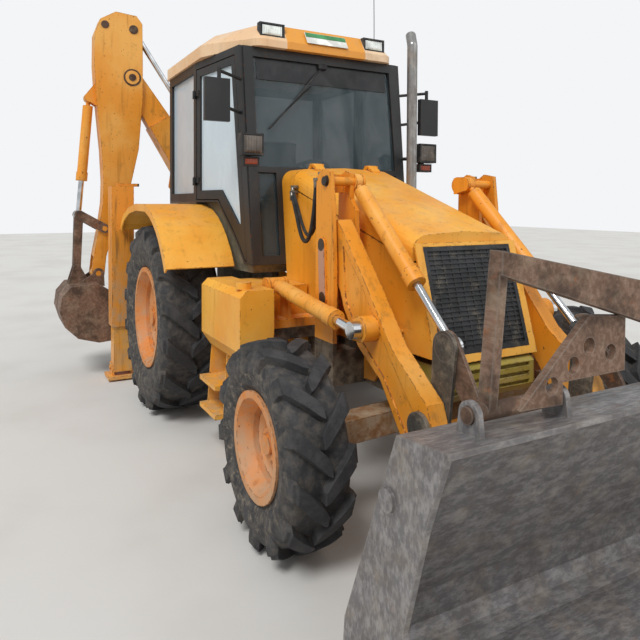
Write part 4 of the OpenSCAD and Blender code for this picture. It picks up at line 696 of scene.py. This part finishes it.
# the outer loop on the left, from the tower's top to the bonnet's side
LOOP = [(1.735, 0.580, 1.700), (1.724, 0.582, 1.600), (1.703, 0.582, 1.500), (1.660, 0.577, 1.412),
        (1.590, 0.565, 1.366), (1.508, 0.548, 1.376), (1.410, 0.520, 1.430), (1.310, 0.488, 1.500),
        (1.210, 0.456, 1.568), (1.120, 0.430, 1.632)]
# each hose of a pair: how far its top lies inward of LOOP, how far it lies above, its diameter
HOSES = [(0.0, 0.0, 0.024), (0.030, 0.034, 0.020)]
# the inward shift falls from all of it at the loop's top to none at an x of INWARD_ENDS
INWARD_ENDS = 1.0
INWARD_SPAN = 0.735
HOSE_BEVEL = 5
FITTING_SHARE = 0.62  # a fitting's radius, as a share of its hose's diameter


def hose(name, line, diameter, look):
    """A hose that hangs between two fittings on the chassis."""
    data = bpy.data.curves.new(name, "CURVE")
    data.dimensions = "3D"
    data.bevel_depth = diameter / 2
    data.bevel_resolution = HOSE_BEVEL
    spline = data.splines.new("POLY")
    spline.points.add(len(line) - 1)
    for point, target in zip(spline.points, line):
        point.co = (*target, 1)
    data.materials.append(look)
    obj = bpy.data.objects.new(name, data)
    bpy.context.collection.objects.link(obj)
    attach(obj, "base")


def make_hoses():
    for sign, side in ((-1, "right"), (1, "left")):
        for k, (inward, up, diameter) in enumerate(HOSES):
            line = curve_through([(x, sign * (y - inward * (x - INWARD_ENDS) / INWARD_SPAN), z + up)
                                  for x, y, z in LOOP], 3)
            hose(f"loop_hose_{side}_{k}", line, diameter, trim_rubber)
            for n, (x, y, z) in enumerate((line[0], line[-1])):
                tube(f"hose_fitting_{side}_{k}_{n}", [(x, y, z - 0.030), (x, y, z + 0.026)],
                     diameter * FITTING_SHARE, steel_fitting, "base", 12, 0)
            x, y, z = line[0]
            slab(f"hose_clamp_{side}_{k}", (x + 0.014, y, z + 0.018), (0.050, 0.030, 0.016),
                 steel_fitting, "base", edge=0.003)
            x, y, z = line[-1]
            slab(f"hose_block_{side}_{k}", (x, y - sign * 0.012, z + 0.026), (0.050, 0.036, 0.020),
                 steel_fitting, "base", edge=0.003)


# ---- pin heads on the dipper's side

DIPPER_FACE = -1.2805  # x of that side
# middle y and z, radius, how far out, look
DIPPER_BOSSES = [(-0.968, 2.779, 0.082, 0.004, pin_steel), (-0.968, 2.779, 0.066, 0.007, arm_paint),
                 (-0.968, 2.779, 0.034, 0.013, pin_steel), (-1.215, 3.250, 0.036, 0.006, pin_steel),
                 (-0.955, 3.235, 0.042, 0.006, pin_steel)]


def make_bosses():
    for k, (y, z, radius, out, look) in enumerate(DIPPER_BOSSES):
        ends = [(DIPPER_FACE, y, z), (DIPPER_FACE + out, y, z)]
        rounded(tube(f"dipper_boss_{k}", ends, radius, look, "dipper_body", 48, 0), 0.0015)


# ---- seat

SEAT_VOXEL = 0.010
SEAT_SHRINK = 0.010  # how far the seat's shape is drawn in before it is blown up
SEAT_CAP = 0.022     # the most that a point moves as it is blown up
SEAT_PRESSURE = 4
SEAT_FRAMES = 20


def make_seat():
    """The seat as a stuffed piece: its CAD shape, shrunk a little, remeshed and blown up as cloth."""
    source = nodes["seat_cushion"]
    mesh = source.data.copy()
    mesh.transform(source.matrix_world)
    mesh.materials.clear()
    seat = bpy.data.objects.new("seat_pad", mesh)
    bpy.context.collection.objects.link(seat)
    remesh = seat.modifiers.new("remesh", "REMESH")
    remesh.mode = "VOXEL"
    remesh.voxel_size = SEAT_VOXEL
    flatten(seat)
    for v in seat.data.vertices:
        v.co -= v.normal * SEAT_SHRINK
    floor = min(v.co.z for v in seat.data.vertices)
    start = [v.co.copy() for v in seat.data.vertices]
    cloth = seat.modifiers.new("cloth", "CLOTH")
    cloth.settings.use_pressure = True
    cloth.settings.uniform_pressure_force = SEAT_PRESSURE
    cloth.settings.effector_weights.gravity = 0
    cloth.settings.quality = 4
    cloth.point_cache.frame_end = SEAT_FRAMES
    for k in range(1, SEAT_FRAMES + 1):
        bpy.context.scene.frame_set(k)
    flatten(seat)
    bpy.context.scene.frame_set(1)
    for v, was in zip(seat.data.vertices, start):
        move = v.co - was
        v.co = was + move * min(1, SEAT_CAP / max(move.length, 1e-6))
        v.co.z = max(v.co.z, floor)
    for face in seat.data.polygons:
        face.use_smooth = True
    seat.modifiers.new("smooth", "SUBSURF").levels = 1
    seat.data.materials.append(fabric)
    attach(seat, "base")
    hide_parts("seat_cushion")


make_camera()
make_lights()
make_floor()
dress()
make_tyres()
make_cab_details()
make_hoses()
make_bosses()
make_seat()
